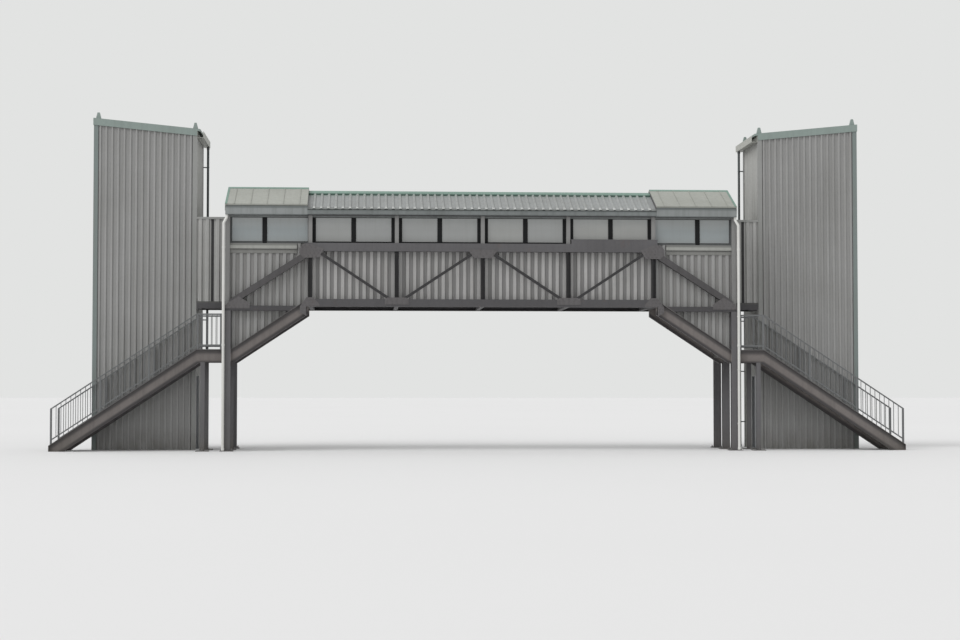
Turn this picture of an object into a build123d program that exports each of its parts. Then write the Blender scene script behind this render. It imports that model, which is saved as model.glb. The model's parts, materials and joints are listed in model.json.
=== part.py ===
from build123d import *
import os
from math import atan, cos, radians, sin, tan

# A covered railway footbridge: a six-bay truss span over the tracks, a stair at each end
# that goes on straight down in front of a lift tower, and a short link to each lift.
# X runs along the bridge, Y away from the viewer, Z up from the platform. Millimetres.

# Panel points of the two trusses
bay = 2400
chord_end_bays = 2
chord_end_x = chord_end_bays * bay
truss_offset = 1300
member_width = 180
plate = 12

# Heights of the span
floor_level = 4200
deck_thickness = 50
floor_beam_depth = 140
bottom_chord_base = floor_level - 200
bottom_chord_depth = 210
top_chord_base = bottom_chord_base + 1540
top_chord_depth = 230
end_chord_depth = 360
end_chord_past_joint = 80
end_tie_base = bottom_chord_base - 120
end_tie_depth = 140
diagonal_low = bottom_chord_base + 85
diagonal_high = top_chord_base + 130
end_post_low = bottom_chord_base + 10
end_post_high = top_chord_base - 20
vertical_width = 115
diagonal_width = 75
diagonal_leg = 70
end_post_width = 165
chord_overrun = 100

# Gusset plates: half widths, and how far they reach past the members
gusset_plate = 12
gusset_lap = 60
top_gusset_half = 380
top_gusset_foot_half = 240
top_gusset_hang = 180
low_gusset_half = 330
low_gusset_head_half = 250
low_gusset_rise = 45
low_gusset_lap = 150
corner_gusset_reach = 200
corner_gusset_chamfer = 110
corner_gusset_rise = 200
corner_gusset_hang = 190
stair_gusset_inset = 260
stair_gusset_reach = 280
stair_gusset_drop = 260
stair_gusset_step = 100
foot_gusset_length = 620
foot_gusset_rise = 260
foot_gusset_shoulder = 300

# Walls
rib_pitch = 200
wall_rib_pan = 80
wall_rib_crest = 80
roof_rib_pan = 100
roof_rib_crest = 50
rib_depth = 30
sheet_base = 5
sill_level = top_chord_base + 220
head_level = sill_level + 780
end_sill_depth = 150
end_sill_projection = 40
end_sill_start = 370
frame_depth = 60
frame_rail = 50
frame_jamb = 130
end_frame_jamb = 45
end_frame_mullion_at = 1255
frame_mullion = 110
frame_gap = 10
pane_thickness = 10
post_width = 110
corner_post_width = 120
end_wall_thickness = 60

# Roof
roof_pitch = 24.0
eaves_beam_depth = 195
end_roof_lift = 100
end_roof_thickness = 40
end_roof_set_in = 80
eaves_overhang = 70
gutter_width = 120
gutter_depth = 125
gutter_wall = 8
end_fascia_depth = 240
rafter_width = 60
rafter_depth = 100
ridge_beam_width = 60
ridge_beam_depth = 140
ridge_cap_width = 180
ridge_cap_thickness = 10
barge_depth = 150
barge_thickness = 15

# Stairs
going = 265
upper_risers = 8
lower_risers = 16
landing_length = 1200
string_depth = 360
string_flange = 90
string_web = 10
string_above_nosing = 15
stair_clear_width = 1200
tread_depth = 50
tread_plate = 8
tread_nosing = 20
landing_plate = 40
landing_bearer_depth = 150
landing_bearer_width = 60
string_toe = 40
trestle_clearance = 5

# Balustrades
rail_height = 1000
rail_size = 40
bar_size = 16
baluster_post = 50
guard_height = 1100
bottom_rail_gap = 90
rail_setback = 40
flight_posts = 3
guard_bars = 14

# Columns
column_width = 200
column_web = 10
column_flange = 14
column_base = 360
column_base_plate = 20
anchor_spacing = 270
anchor_hole_radius = 13
landing_column_width = 120

# Link to the lift
link_length = 910
link_wall_thickness = 60
link_roof_thickness = 60
link_roof_edge = 20
link_joint_start = 420
link_joint_width = 80
doorway_head = floor_level + 1000
doorway_post_width = 80
doorway_post_lap = 35
edge_beam_width = 90
end_beam_width = 80

# Lift tower
tower_gap = 10
tower_length = 2900
tower_depth = 2120
tower_panel = 80
tower_low_eaves = floor_level + 4850
tower_high_eaves = floor_level + 5135
tower_rib_pitch = 170
tower_rib_pan = 90
tower_rib_crest = 44
tower_roof_thickness = 60
tower_roof_overhang = 20
tower_verge_depth = 200
tower_verge_thickness = 12
tower_lug_height = 170
tower_lug_width = 160
tower_lug_top = 60
tower_lug_thickness = 80
tower_lug_inner_inset = 50
tower_lug_outer_inset = 120
tower_lug_side_inset = 60
tower_gutter_width = 180
tower_gutter_depth = 180
tower_gutter_drop = 2
tower_gutter_end = 200
tower_trim_leg = 120
tower_trim = 4
downpipe_radius = 35
downpipe_stand_off = 100
downpipe_clip_spacing = 1500
downpipe_clip_height = 30
corner_pipe_radius = 38
corner_pipe_gap = 15
corner_pipe_bend = 160
lift_door_width = 900
lift_door_height = 2100
lift_door_offset = 130
lift_door_thickness = 50
lift_door_groove = 8

# Places that follow from the sizes above
riser = floor_level / (upper_risers + lower_risers)
slope = riser / going
slope_angle = atan(slope)
stair_head_x = chord_end_x + vertical_width / 2
landing_start_x = stair_head_x + going * (upper_risers - 1)
landing_end_x = landing_start_x + landing_length
stair_foot_x = landing_end_x + going * (lower_risers - 1)
landing_level = floor_level - riser * upper_risers
trestle_x = landing_start_x + going + trestle_clearance + column_width / 2

gutter_reach = truss_offset + gutter_width
tower_set_back = stair_clear_width + string_flange + tower_gap - truss_offset
front_reach = truss_offset + string_flange / 2 + column_base / 2
back_reach = tower_set_back + tower_depth + tower_gutter_end
axis_y = (front_reach - back_reach) / 2

face_y = axis_y - truss_offset - member_width / 2
inner_y = axis_y - truss_offset + member_width / 2
sheet_y = inner_y + sheet_base + rib_depth
clear_half = axis_y - sheet_y
string_web_y = axis_y - truss_offset
stair_back_y = string_web_y + stair_clear_width
link_edge_y = stair_back_y + string_flange
tower_front_y = link_edge_y + tower_gap
tower_back_y = tower_front_y + tower_depth
link_back_y = axis_y + clear_half

deck_base = floor_level - deck_thickness
bottom_chord_top = bottom_chord_base + bottom_chord_depth
end_chord_start = bay + end_chord_past_joint
top_chord_top = top_chord_base + top_chord_depth
end_chord_top = top_chord_base + end_chord_depth
end_tie_top = end_tie_base + end_tie_depth
chord_tip_x = chord_end_x + chord_overrun
trestle_inner_x = trestle_x - column_width / 2
trestle_outer_x = trestle_x + column_width / 2
wall_end_x = trestle_x - corner_post_width / 2
end_wall_x = trestle_x
link_start_x = trestle_x + end_wall_thickness
end_roof_start = chord_end_x + end_roof_set_in
end_roof_end = link_start_x
tower_inner_x = link_start_x + link_length
tower_outer_x = tower_inner_x + tower_length
link_end_x = tower_inner_x - tower_trim

rafter_foot_z = head_level + eaves_beam_depth
roof_rise = tan(radians(roof_pitch))
sheet_total = sheet_base + rib_depth

bridge_plane = Plane.XZ.offset(-axis_y)
stair_plane = Plane.XZ.offset(-(string_web_y + stair_back_y) / 2)


def upright(y):
    """The vertical plane across the tracks at one y, seen from the front."""
    return Plane.XZ.offset(-y)


def roof_underside(y, lift=0.0):
    """Height of the underside of the roof at a distance from the bridge's axis."""
    return rafter_foot_z + lift + (truss_offset - abs(y)) * roof_rise


def nosing(x):
    """Height of the nosing line of the right-hand stair, with its landing."""
    if x <= landing_start_x:
        return floor_level - slope * (x - stair_head_x)
    return landing_level - slope * max(0.0, x - landing_end_x)


def block(x, y, z, mode=Mode.ADD):
    """A straight member between two planes on each axis."""
    with Locations(((x[0] + x[1]) / 2, (y[0] + y[1]) / 2, (z[0] + z[1]) / 2)):
        Box(x[1] - x[0], y[1] - y[0], z[1] - z[0], mode=mode)


def outline(points):
    """A closed straight-sided face in the sketch that is open."""
    with BuildLine() as edge:
        Polyline(*points, close=True)
    make_face(edge.edges())


def save(builder, name):
    """Names a finished sub-part and writes its file."""
    builder.part.label = name
    export_step(builder.part, f"parts/{name}.step")


def save_both_ends(builder, name):
    """Writes one right-hand sub-part together with its left-hand twin."""
    with BuildPart() as pair:
        add(builder.part)
        mirror(about=Plane.YZ)
    save(pair, name)


def save_front_and_back(builder, noun):
    """Writes the same sub-part on the front and on the back of the bridge."""
    save(builder, f"front_{noun}")
    with BuildPart() as back:
        mirror(builder.part, about=bridge_plane)
    save(back, f"back_{noun}")


def on_both_sides(builder, name):
    """Writes one sub-part with its twin on the other side of the bridge."""
    with BuildPart() as pair:
        add(builder.part)
        mirror(about=bridge_plane)
    save(pair, name)


def ribbed_profile(length, base, depth, pitch, pan, crest):
    """Points of a ribbed sheet's section: flat behind, ribs on the +y side."""
    shoulder = (pitch - pan - crest) / 2
    count = int(length // pitch)
    margin = (length - count * pitch) / 2
    points = [(0, 0), (0, base)]
    for i in range(count):
        start = margin + i * pitch + pan / 2
        points.append((start, base))
        points.append((start + shoulder, base + depth))
        points.append((start + shoulder + crest, base + depth))
        points.append((start + 2 * shoulder + crest, base))
    points.append((length, base))
    points.append((length, 0))
    return points


def wall_sheet(plane, length, height, base, depth, pitch, pan, crest):
    """A ribbed wall sheet that stands on a plane, with its ribs along the height."""
    with BuildSketch(plane) as section:
        outline(ribbed_profile(length, base, depth, pitch, pan, crest))
    extrude(section.sketch, amount=height)


def span_profile_front(base, depth):
    """A channel section with its web on the outer face of the front truss."""
    outline([
        (face_y, base), (inner_y, base), (inner_y, base + plate),
        (face_y + plate, base + plate), (face_y + plate, base + depth - plate),
        (inner_y, base + depth - plate), (inner_y, base + depth), (face_y, base + depth),
    ])


def channel_run(x, base, depth):
    """A length of that channel between two values of x."""
    with BuildSketch(Plane.YZ.offset(x[0])) as section:
        span_profile_front(base, depth)
    extrude(section.sketch, amount=x[1] - x[0])


def band(a, b, half):
    """The four corners of a straight member of a given half-width from a to b."""
    tilt = atan((b[1] - a[1]) / (b[0] - a[0]))
    dx = half * sin(tilt)
    dz = half * cos(tilt)
    return [
        (a[0] + dx, a[1] - dz), (b[0] + dx, b[1] - dz),
        (b[0] - dx, b[1] + dz), (a[0] - dx, a[1] + dz),
    ]


# Trusses

def top_chord():
    """Top chord with its deeper channels over the end bays."""
    with BuildPart() as chord:
        channel_run((-end_chord_start, end_chord_start), top_chord_base, top_chord_depth)
        channel_run((end_chord_start, chord_tip_x), top_chord_base, end_chord_depth)
        block((chord_tip_x - plate, chord_tip_x), (face_y, inner_y),
              (top_chord_base, end_chord_top))
        block((end_chord_start, end_chord_start + plate), (face_y, inner_y),
              (top_chord_base, end_chord_top))
        mirror(about=Plane.YZ)
    save_front_and_back(chord, "top_chord")


def bottom_chords():
    """The front chord stops at the stairs, and the back one reaches the trestles."""
    with BuildPart() as front:
        channel_run((-stair_head_x, stair_head_x), bottom_chord_base, bottom_chord_depth)
    save(front, "front_bottom_chord")
    with BuildPart() as long_run:
        channel_run((-trestle_outer_x, trestle_outer_x), bottom_chord_base, bottom_chord_depth)
    with BuildPart() as back:
        mirror(long_run.part, about=bridge_plane)
    save(back, "back_bottom_chord")


def end_ties():
    """The shallow channels that carry the front truss on from the stairs to the trestles."""
    string_top = floor_level + string_above_nosing
    upper_x = stair_head_x + (string_top - end_tie_top) / slope
    lower_x = stair_head_x + (string_top - end_tie_base) / slope
    with BuildPart() as tie:
        channel_run((upper_x, trestle_outer_x), end_tie_base, end_tie_depth)
        with BuildSketch(upright(inner_y)):
            outline([(upper_x, end_tie_top), (lower_x, end_tie_base),
                     (upper_x - plate, end_tie_base), (upper_x - plate, end_tie_top)])
        extrude(amount=member_width, mode=Mode.SUBTRACT)
    save_both_ends(tie, "end_ties")


def truss_verticals():
    """Upright H sections at the panel points, with the web set back in the truss."""
    with BuildPart() as verticals:
        with BuildSketch(Plane.XY.offset(bottom_chord_top)):
            with Locations((0, axis_y - truss_offset)):
                Rectangle(vertical_width, member_width)
                with GridLocations(0, (member_width + plate) / 2, 1, 2):
                    Rectangle(vertical_width - 2 * plate, (member_width - plate) / 2,
                              mode=Mode.SUBTRACT)
        extrude(amount=top_chord_base - bottom_chord_top)
    with BuildPart() as row:
        with GridLocations(bay, 0, 2 * chord_end_bays + 1, 1):
            add(verticals.part)
    save_front_and_back(row, "truss_verticals")


def diagonal_angle(low_x, high_x):
    """One angle-section diagonal, clipped by the chords and clear of the verticals."""
    side = 1 if high_x > low_x else -1
    start = (low_x, diagonal_low)
    end = (high_x, diagonal_high)
    half = diagonal_width / 2
    with BuildPart() as angle:
        with BuildSketch(upright(face_y + plate)):
            outline(band(start, end, half))
        extrude(amount=plate)
        shift = half - plate / 2
        tilt = atan((end[1] - start[1]) / (end[0] - start[0]))
        drop_x = shift * sin(tilt)
        drop_z = shift * cos(tilt)
        with BuildSketch(upright(face_y + diagonal_leg)):
            outline(band((start[0] + drop_x, start[1] - drop_z),
                         (end[0] + drop_x, end[1] - drop_z), plate / 2))
        extrude(amount=diagonal_leg)
        clear_x = high_x - side * (vertical_width / 2 + frame_gap)
        block(sorted((low_x, clear_x)), (face_y, face_y + diagonal_leg),
              (bottom_chord_top, top_chord_base), mode=Mode.INTERSECT)
    return angle.part


def end_post(foot_z):
    """The heavier raking post from the top chord down to the trestle."""
    start = (chord_end_x, end_post_high)
    beyond = (trestle_x + bay, 2 * end_post_low - end_post_high)
    with BuildPart() as post:
        with BuildSketch(upright(inner_y)):
            outline(band(start, beyond, end_post_width / 2))
        extrude(amount=member_width)
        with BuildSketch(upright(inner_y)):
            outline(band(start, beyond, end_post_width / 2 - plate))
        extrude(amount=member_width - plate, mode=Mode.SUBTRACT)
        block((chord_tip_x, wall_end_x), (face_y, inner_y),
              (foot_z, top_chord_top), mode=Mode.INTERSECT)
    return post.part


def truss_diagonals(foot_z):
    """Both halves of one truss: two diagonals a side and the raking end post."""
    with BuildPart() as diagonals:
        add(diagonal_angle(bay, 0))
        add(diagonal_angle(bay, chord_end_x))
        add(end_post(foot_z))
        mirror(about=Plane.YZ)
    return diagonals


def diagonals():
    """The front end posts stand on the ties, and the back ones on the long chord."""
    save(truss_diagonals(end_tie_top), "front_truss_diagonals")
    back_source = truss_diagonals(bottom_chord_top)
    with BuildPart() as back:
        mirror(back_source.part, about=bridge_plane)
    save(back, "back_truss_diagonals")


def gusset(points):
    """A plate on the outer face of the front truss."""
    with BuildSketch(upright(face_y)) as plate_face:
        outline(points)
    extrude(plate_face.sketch, amount=gusset_plate)


def gusset_plates():
    """Joint plates at the panel points, and the front plates at the stair heads."""
    chord_lap = top_chord_base + gusset_lap
    hang = top_chord_base - top_gusset_hang
    low_lap = bottom_chord_top - low_gusset_lap
    rise = bottom_chord_top + low_gusset_rise
    corner_x = chord_tip_x + corner_gusset_reach
    shoulder_x = corner_x - corner_gusset_chamfer
    tie_lap = end_tie_base + gusset_lap
    foot_x = trestle_x - foot_gusset_length
    with BuildPart() as common:
        gusset([(-top_gusset_half, chord_lap), (top_gusset_half, chord_lap),
                (top_gusset_half, top_chord_base), (top_gusset_foot_half, hang),
                (-top_gusset_foot_half, hang), (-top_gusset_half, top_chord_base)])
        gusset([(bay - low_gusset_half, low_lap), (bay + low_gusset_half, low_lap),
                (bay + low_gusset_half, bottom_chord_top), (bay + low_gusset_head_half, rise),
                (bay - low_gusset_head_half, rise), (bay - low_gusset_half, bottom_chord_top)])
        gusset([(chord_end_x - top_gusset_half, chord_lap),
                (chord_end_x, top_chord_base + corner_gusset_rise),
                (shoulder_x, top_chord_base + corner_gusset_rise),
                (corner_x, top_chord_base + gusset_lap),
                (corner_x, top_chord_base - gusset_lap),
                (shoulder_x, top_chord_base - corner_gusset_hang),
                (chord_end_x - top_gusset_foot_half, hang)])
        gusset([(foot_x, tie_lap), (foot_x, end_tie_top + gusset_lap),
                (foot_x + foot_gusset_shoulder, end_tie_top + foot_gusset_rise),
                (trestle_x, end_tie_top + gusset_lap), (trestle_outer_x, tie_lap)])
    with BuildPart() as common_pair:
        add(common.part)
        mirror(about=Plane.YZ)
    inner_x = chord_end_x - stair_gusset_inset
    outer_x = chord_end_x + stair_gusset_reach
    foot = bottom_chord_base - stair_gusset_drop
    with BuildPart() as front:
        gusset([(inner_x, bottom_chord_base), (inner_x, low_lap),
                (chord_end_x - stair_gusset_step, rise), (chord_end_x + stair_gusset_step, rise),
                (outer_x, bottom_chord_base), (outer_x, foot + stair_gusset_step),
                (chord_end_x + stair_gusset_step, foot),
                (chord_end_x + stair_gusset_step, bottom_chord_base)])
        mirror(about=Plane.YZ)
        add(common_pair.part)
    save(front, "front_gusset_plates")
    with BuildPart() as back:
        mirror(common_pair.part, about=bridge_plane)
    save(back, "back_gusset_plates")


# Floor

def floor_beams():
    """Cross beams between the trusses, and the beams that carry each link."""
    base = deck_base - floor_beam_depth
    link_base = bottom_chord_base
    with BuildPart() as beams:
        with GridLocations(bay, 0, 2 * chord_end_bays + 1, 1):
            with Locations((0, axis_y, base + floor_beam_depth / 2)):
                Box(vertical_width, 2 * (truss_offset - member_width / 2), floor_beam_depth)
    with BuildPart() as link:
        block((stair_head_x, link_end_x), (link_edge_y, link_edge_y + edge_beam_width),
              (link_base, deck_base))
        block((trestle_x - edge_beam_width / 2, trestle_x + edge_beam_width / 2),
              (link_edge_y + edge_beam_width, axis_y + truss_offset - member_width / 2),
              (link_base, deck_base))
        block((trestle_outer_x, link_end_x), (link_back_y - edge_beam_width, link_back_y),
              (link_base, deck_base))
        block((link_end_x - end_beam_width, link_end_x),
              (link_edge_y + edge_beam_width, link_back_y - edge_beam_width),
              (link_base, deck_base))
        block((trestle_x + edge_beam_width / 2, trestle_outer_x),
              (link_back_y - edge_beam_width, link_back_y), (link_base, deck_base))
        mirror(about=Plane.YZ)
    save(beams, "floor_beams")
    save(link, "link_beams")


def decks():
    """The walking surface of the span, and the narrower floors that go on to the lifts."""
    with BuildPart() as floor:
        block((-stair_head_x, stair_head_x), (sheet_y, link_back_y), (deck_base, floor_level))
    save(floor, "span_deck")
    with BuildPart() as link:
        block((stair_head_x, link_end_x), (link_edge_y, link_back_y), (deck_base, floor_level))
    save_both_ends(link, "link_decks")


# Walls

def span_sheeting():
    """Ribbed sheets between the chords, over the whole length at the back."""
    height = sill_level - deck_base
    args = (sheet_base, rib_depth, rib_pitch, wall_rib_pan, wall_rib_crest)
    front_plane = Plane(origin=(chord_end_x, sheet_y, deck_base), x_dir=(-1, 0, 0), z_dir=(0, 0, 1))
    with BuildPart() as front:
        wall_sheet(front_plane, 2 * chord_end_x, height, *args)
    save(front, "front_wall_sheeting")
    back_plane = Plane(origin=(-wall_end_x, link_back_y, deck_base),
                       x_dir=(1, 0, 0), z_dir=(0, 0, 1))
    with BuildPart() as back:
        wall_sheet(back_plane, 2 * wall_end_x, height, *args)
    save(back, "back_wall_sheeting")


def stair_sheeting():
    """The front sheets beyond the truss, which run down to the raking strings."""
    string_top = floor_level + string_above_nosing + frame_gap
    low_z = landing_level + string_above_nosing + frame_gap
    low_x = stair_head_x + (string_top - low_z) / slope
    plane = Plane(origin=(wall_end_x, sheet_y, low_z), x_dir=(-1, 0, 0), z_dir=(0, 0, 1))
    with BuildPart() as sheet:
        wall_sheet(plane, wall_end_x - chord_end_x, sill_level - low_z,
                   sheet_base, rib_depth, rib_pitch, wall_rib_pan, wall_rib_crest)
        with BuildSketch(upright(sheet_y)):
            outline([(chord_end_x, string_top), (stair_head_x, string_top), (low_x, low_z),
                     (wall_end_x, low_z), (wall_end_x, sill_level), (chord_end_x, sill_level)])
        extrude(amount=sheet_base + rib_depth, mode=Mode.INTERSECT)
    save_both_ends(sheet, "stair_sheeting")


def pane_spans(start, end, jamb, middle):
    """Where the two panes of one bay start and end."""
    half = frame_mullion / 2
    return (start + jamb, middle - half), (middle + half, end - jamb)


def window_frame(start, end, jamb, middle):
    """One bay's window frame with its mullion."""
    height = head_level - sill_level
    centre_z = sill_level + height / 2
    with BuildSketch(upright(inner_y + frame_depth)) as face:
        with Locations(((start + end) / 2, centre_z)):
            Rectangle(end - start, height)
        for x0, x1 in pane_spans(start, end, jamb, middle):
            with Locations(((x0 + x1) / 2, centre_z)):
                Rectangle(x1 - x0, height - 2 * frame_rail, mode=Mode.SUBTRACT)
    extrude(face.sketch, amount=frame_depth)


def window_panes_in(start, end, jamb, middle):
    """The two panes of one bay."""
    mid_y = inner_y + frame_depth / 2
    for x in pane_spans(start, end, jamb, middle):
        block(x, (mid_y - pane_thickness / 2, mid_y + pane_thickness / 2),
              (sill_level + frame_rail, head_level - frame_rail))


def window_bays():
    """Each bay's frame from left to right: its two ends, its jambs and its mullion's place."""
    edges = [i * bay for i in range(-chord_end_bays, chord_end_bays + 1)]
    bays = [(a + frame_gap, b - frame_gap, frame_jamb, (a + b) / 2)
            for a, b in zip(edges, edges[1:])]
    start = chord_end_x + frame_gap
    mullion = start + end_frame_mullion_at
    right = (start, wall_end_x, end_frame_jamb, mullion)
    left = (-wall_end_x, -start, end_frame_jamb, -mullion)
    return [left] + bays + [right]


def windows():
    """Frames and panes of the band of windows."""
    with BuildPart() as frames:
        for window in window_bays():
            window_frame(*window)
    save_front_and_back(frames, "window_frames")
    with BuildPart() as panes:
        for window in window_bays():
            window_panes_in(*window)
    save_front_and_back(panes, "window_panes")


def wall_post_row(corner_foot):
    """The front posts from the chord to the eaves, and the corner posts of the enclosure."""
    outer = axis_y - truss_offset
    half = post_width / 2
    with BuildPart() as posts:
        for i in range(-chord_end_bays, chord_end_bays + 1):
            foot = end_chord_top if abs(i) == chord_end_bays else top_chord_top
            block((i * bay - half, i * bay + half), (outer, inner_y), (foot, head_level))
        for x in (wall_end_x, -wall_end_x - corner_post_width):
            block((x, x + corner_post_width), (outer, sheet_y), (corner_foot, head_level))
    return posts


def wall_posts():
    """The front corner posts stand on the end ties, and the back ones on the long chord."""
    save(wall_post_row(end_tie_top), "front_wall_posts")
    back_source = wall_post_row(bottom_chord_top)
    with BuildPart() as back:
        mirror(back_source.part, about=bridge_plane)
    save(back, "back_wall_posts")


def end_sills():
    """Pale sills under the windows, from the raking posts to the corners."""
    start = chord_end_x + end_sill_start
    with BuildPart() as sill:
        block((start, wall_end_x), (inner_y - end_sill_projection, inner_y),
              (sill_level - end_sill_depth, sill_level))
        mirror(about=Plane.YZ)
    on_both_sides(sill, "end_sills")


# Roof

def eaves_section(lift):
    """Section of an eaves beam with its top cut to the roof's slope."""
    inner = clear_half
    outline([
        (axis_y - truss_offset, head_level), (axis_y - inner, head_level),
        (axis_y - inner, roof_underside(inner, lift)),
        (axis_y - truss_offset, roof_underside(truss_offset, lift)),
    ])


def eaves_beams():
    """Beams along the wall heads, higher under the end roofs."""
    with BuildPart() as beam:
        with BuildSketch(Plane.YZ.offset(-trestle_x - end_wall_thickness)):
            eaves_section(0)
        extrude(amount=2 * (trestle_x + end_wall_thickness))
        for x in (end_roof_start, -trestle_x - end_wall_thickness):
            with BuildSketch(Plane.YZ.offset(x)):
                eaves_section(end_roof_lift)
            extrude(amount=trestle_x + end_wall_thickness - end_roof_start)
    on_both_sides(beam, "eaves_beams")


def rafter_section(lift):
    """One front rafter, from the eaves beam to the side of the ridge beam."""
    drop = rafter_depth / cos(radians(roof_pitch))
    near = ridge_beam_width / 2
    foot = roof_underside(clear_half, lift)
    peak = roof_underside(near, lift)
    outline([
        (axis_y - clear_half, foot), (axis_y - near, peak), (axis_y - near, peak - drop),
        (axis_y - clear_half, foot - drop),
    ])


def roof_frames():
    """Rafters at the posts, and the stepped ridge beam between them."""
    half = rafter_width / 2
    main_x = [-end_roof_start + half, -bay, 0, bay, end_roof_start - half]
    raised_x = [end_roof_start + half, trestle_x - half]
    with BuildPart() as rafters:
        for lift, places in ((0, main_x), (end_roof_lift, raised_x + [-x for x in raised_x])):
            for x in places:
                with BuildSketch(Plane.YZ.offset(x - half)):
                    rafter_section(lift)
                extrude(amount=rafter_width)
    on_both_sides(rafters, "rafters")
    near = ridge_beam_width / 2
    runs = (
        (0, -end_roof_start, end_roof_start),
        (end_roof_lift, end_roof_start, trestle_x),
        (end_roof_lift, -trestle_x, -end_roof_start),
    )
    with BuildPart() as ridge:
        for lift, x0, x1 in runs:
            peak = roof_underside(near, lift)
            block((x0, x1), (axis_y - near, axis_y + near), (peak - ridge_beam_depth, peak))
    save(ridge, "ridge_beam")


def main_roof():
    """Ribbed sheets on the two slopes of the span, with the ridge capping."""
    length = 2 * end_roof_start
    run = truss_offset + eaves_overhang
    angle = radians(roof_pitch)
    ridge = (-end_roof_start, axis_y, roof_underside(0))
    plane = Plane(origin=ridge, x_dir=(1, 0, 0), z_dir=(0, -cos(angle), -sin(angle)))
    with BuildPart() as slope_sheet:
        wall_sheet(plane, length, run / cos(angle), sheet_base, rib_depth,
                   rib_pitch, roof_rib_pan, roof_rib_crest)
    save_front_and_back(slope_sheet, "roof_sheets")
    crest = sheet_total / cos(angle)
    reach = ridge_cap_width
    drop = reach * roof_rise
    thick = ridge_cap_thickness / cos(angle)
    peak = roof_underside(0) + crest
    with BuildPart() as capping:
        with BuildSketch(Plane.YZ.offset(-end_roof_start)):
            outline([
                (axis_y - reach, peak - drop), (axis_y, peak), (axis_y + reach, peak - drop),
                (axis_y + reach, peak - drop + thick), (axis_y, peak + thick),
                (axis_y - reach, peak - drop + thick),
            ])
        extrude(amount=length)
    save(capping, "ridge_capping")


def end_roof_section(hang):
    """The front slope of an end roof, hanging a little below its underside at a barge."""
    half_span = truss_offset + eaves_overhang
    thick = end_roof_thickness / cos(radians(roof_pitch))
    foot = roof_underside(half_span, end_roof_lift)
    peak = roof_underside(0, end_roof_lift)
    outline([
        (axis_y - half_span, foot - hang), (axis_y, peak - hang), (axis_y, peak + thick),
        (axis_y - half_span, foot + thick),
    ])


def end_roofs():
    """Plain raised roofs over the stair heads, each slope with its barge board."""
    with BuildPart() as roof:
        with BuildSketch(Plane.YZ.offset(end_roof_start)):
            end_roof_section(0)
        extrude(amount=end_roof_end - end_roof_start)
        with BuildSketch(Plane.YZ.offset(end_roof_end)):
            end_roof_section(barge_depth)
        extrude(amount=barge_thickness)
        mirror(about=Plane.YZ)
    save_front_and_back(roof, "end_roofs")


def gutter_section(outer_y, base, depth):
    """A square gutter, open above, against the eaves beam."""
    inner = outer_y + gutter_width
    wall = gutter_wall
    outline([
        (outer_y, base), (inner, base), (inner, base + depth), (inner - wall, base + depth),
        (inner - wall, base + wall), (outer_y + wall, base + wall),
        (outer_y + wall, base + depth), (outer_y, base + depth),
    ])


def gutters():
    """Gutters along the span, and the deep fascia gutters of the end roofs."""
    outer = axis_y - gutter_reach
    main_top = roof_underside(gutter_reach - gutter_wall)
    end_top = roof_underside(gutter_reach - gutter_wall, end_roof_lift)
    with BuildPart() as main:
        with BuildSketch(Plane.YZ.offset(-end_roof_start)):
            gutter_section(outer, main_top - gutter_depth, gutter_depth)
        extrude(amount=2 * end_roof_start)
    on_both_sides(main, "eaves_gutters")
    with BuildPart() as end:
        with BuildSketch(Plane.YZ.offset(end_roof_start)):
            gutter_section(outer, end_top - end_fascia_depth, end_fascia_depth)
        extrude(amount=trestle_x + end_wall_thickness - end_roof_start)
        mirror(about=Plane.YZ)
    on_both_sides(end, "end_fascias")


def end_walls():
    """Gable ends, the panel over each stair doorway and the post beside it."""
    half = clear_half
    with BuildPart() as gable:
        with BuildSketch(Plane.YZ.offset(end_wall_x)):
            outline([
                (axis_y - half, head_level), (axis_y + half, head_level),
                (axis_y + half, roof_underside(half, end_roof_lift)),
                (axis_y, roof_underside(0, end_roof_lift)),
                (axis_y - half, roof_underside(half, end_roof_lift)),
            ])
        extrude(amount=end_wall_thickness)
    save_both_ends(gable, "gable_ends")
    jamb_back = link_edge_y + doorway_post_lap
    jamb_front = jamb_back - doorway_post_width
    with BuildPart() as over_door:
        block((end_wall_x, link_start_x), (sheet_y, jamb_front), (doorway_head, head_level))
    save_both_ends(over_door, "stair_doorway_panels")
    with BuildPart() as jamb:
        block((end_wall_x, link_start_x), (jamb_front, jamb_back), (floor_level, head_level))
    save_both_ends(jamb, "stair_doorway_posts")


# Stairs

def string_outline_upper():
    """Side view of the string from the stair head to the trestle column."""
    top = floor_level + string_above_nosing
    flat = landing_level + string_above_nosing
    fall = string_depth / cos(slope_angle)
    top_turn = stair_head_x + (top - flat) / slope
    low_turn = stair_head_x + (top - fall - flat + string_depth) / slope
    return [
        (stair_head_x, top), (top_turn, flat), (trestle_inner_x, flat),
        (trestle_inner_x, flat - string_depth), (low_turn, flat - string_depth),
        (stair_head_x, top - fall),
    ]


def string_outline_lower():
    """Side view of the string from the trestle column to the foot."""
    flat = landing_level + string_above_nosing
    fall = string_depth / cos(slope_angle)
    toe_x = stair_foot_x + string_toe
    low_turn = landing_end_x - (fall - string_depth) / slope
    return [
        (trestle_outer_x, flat), (landing_end_x, flat),
        (toe_x, flat - slope * (toe_x - landing_end_x)), (toe_x, 0),
        (landing_end_x + (flat - fall) / slope, 0), (low_turn, flat - string_depth),
        (trestle_outer_x, flat - string_depth),
    ]


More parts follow.
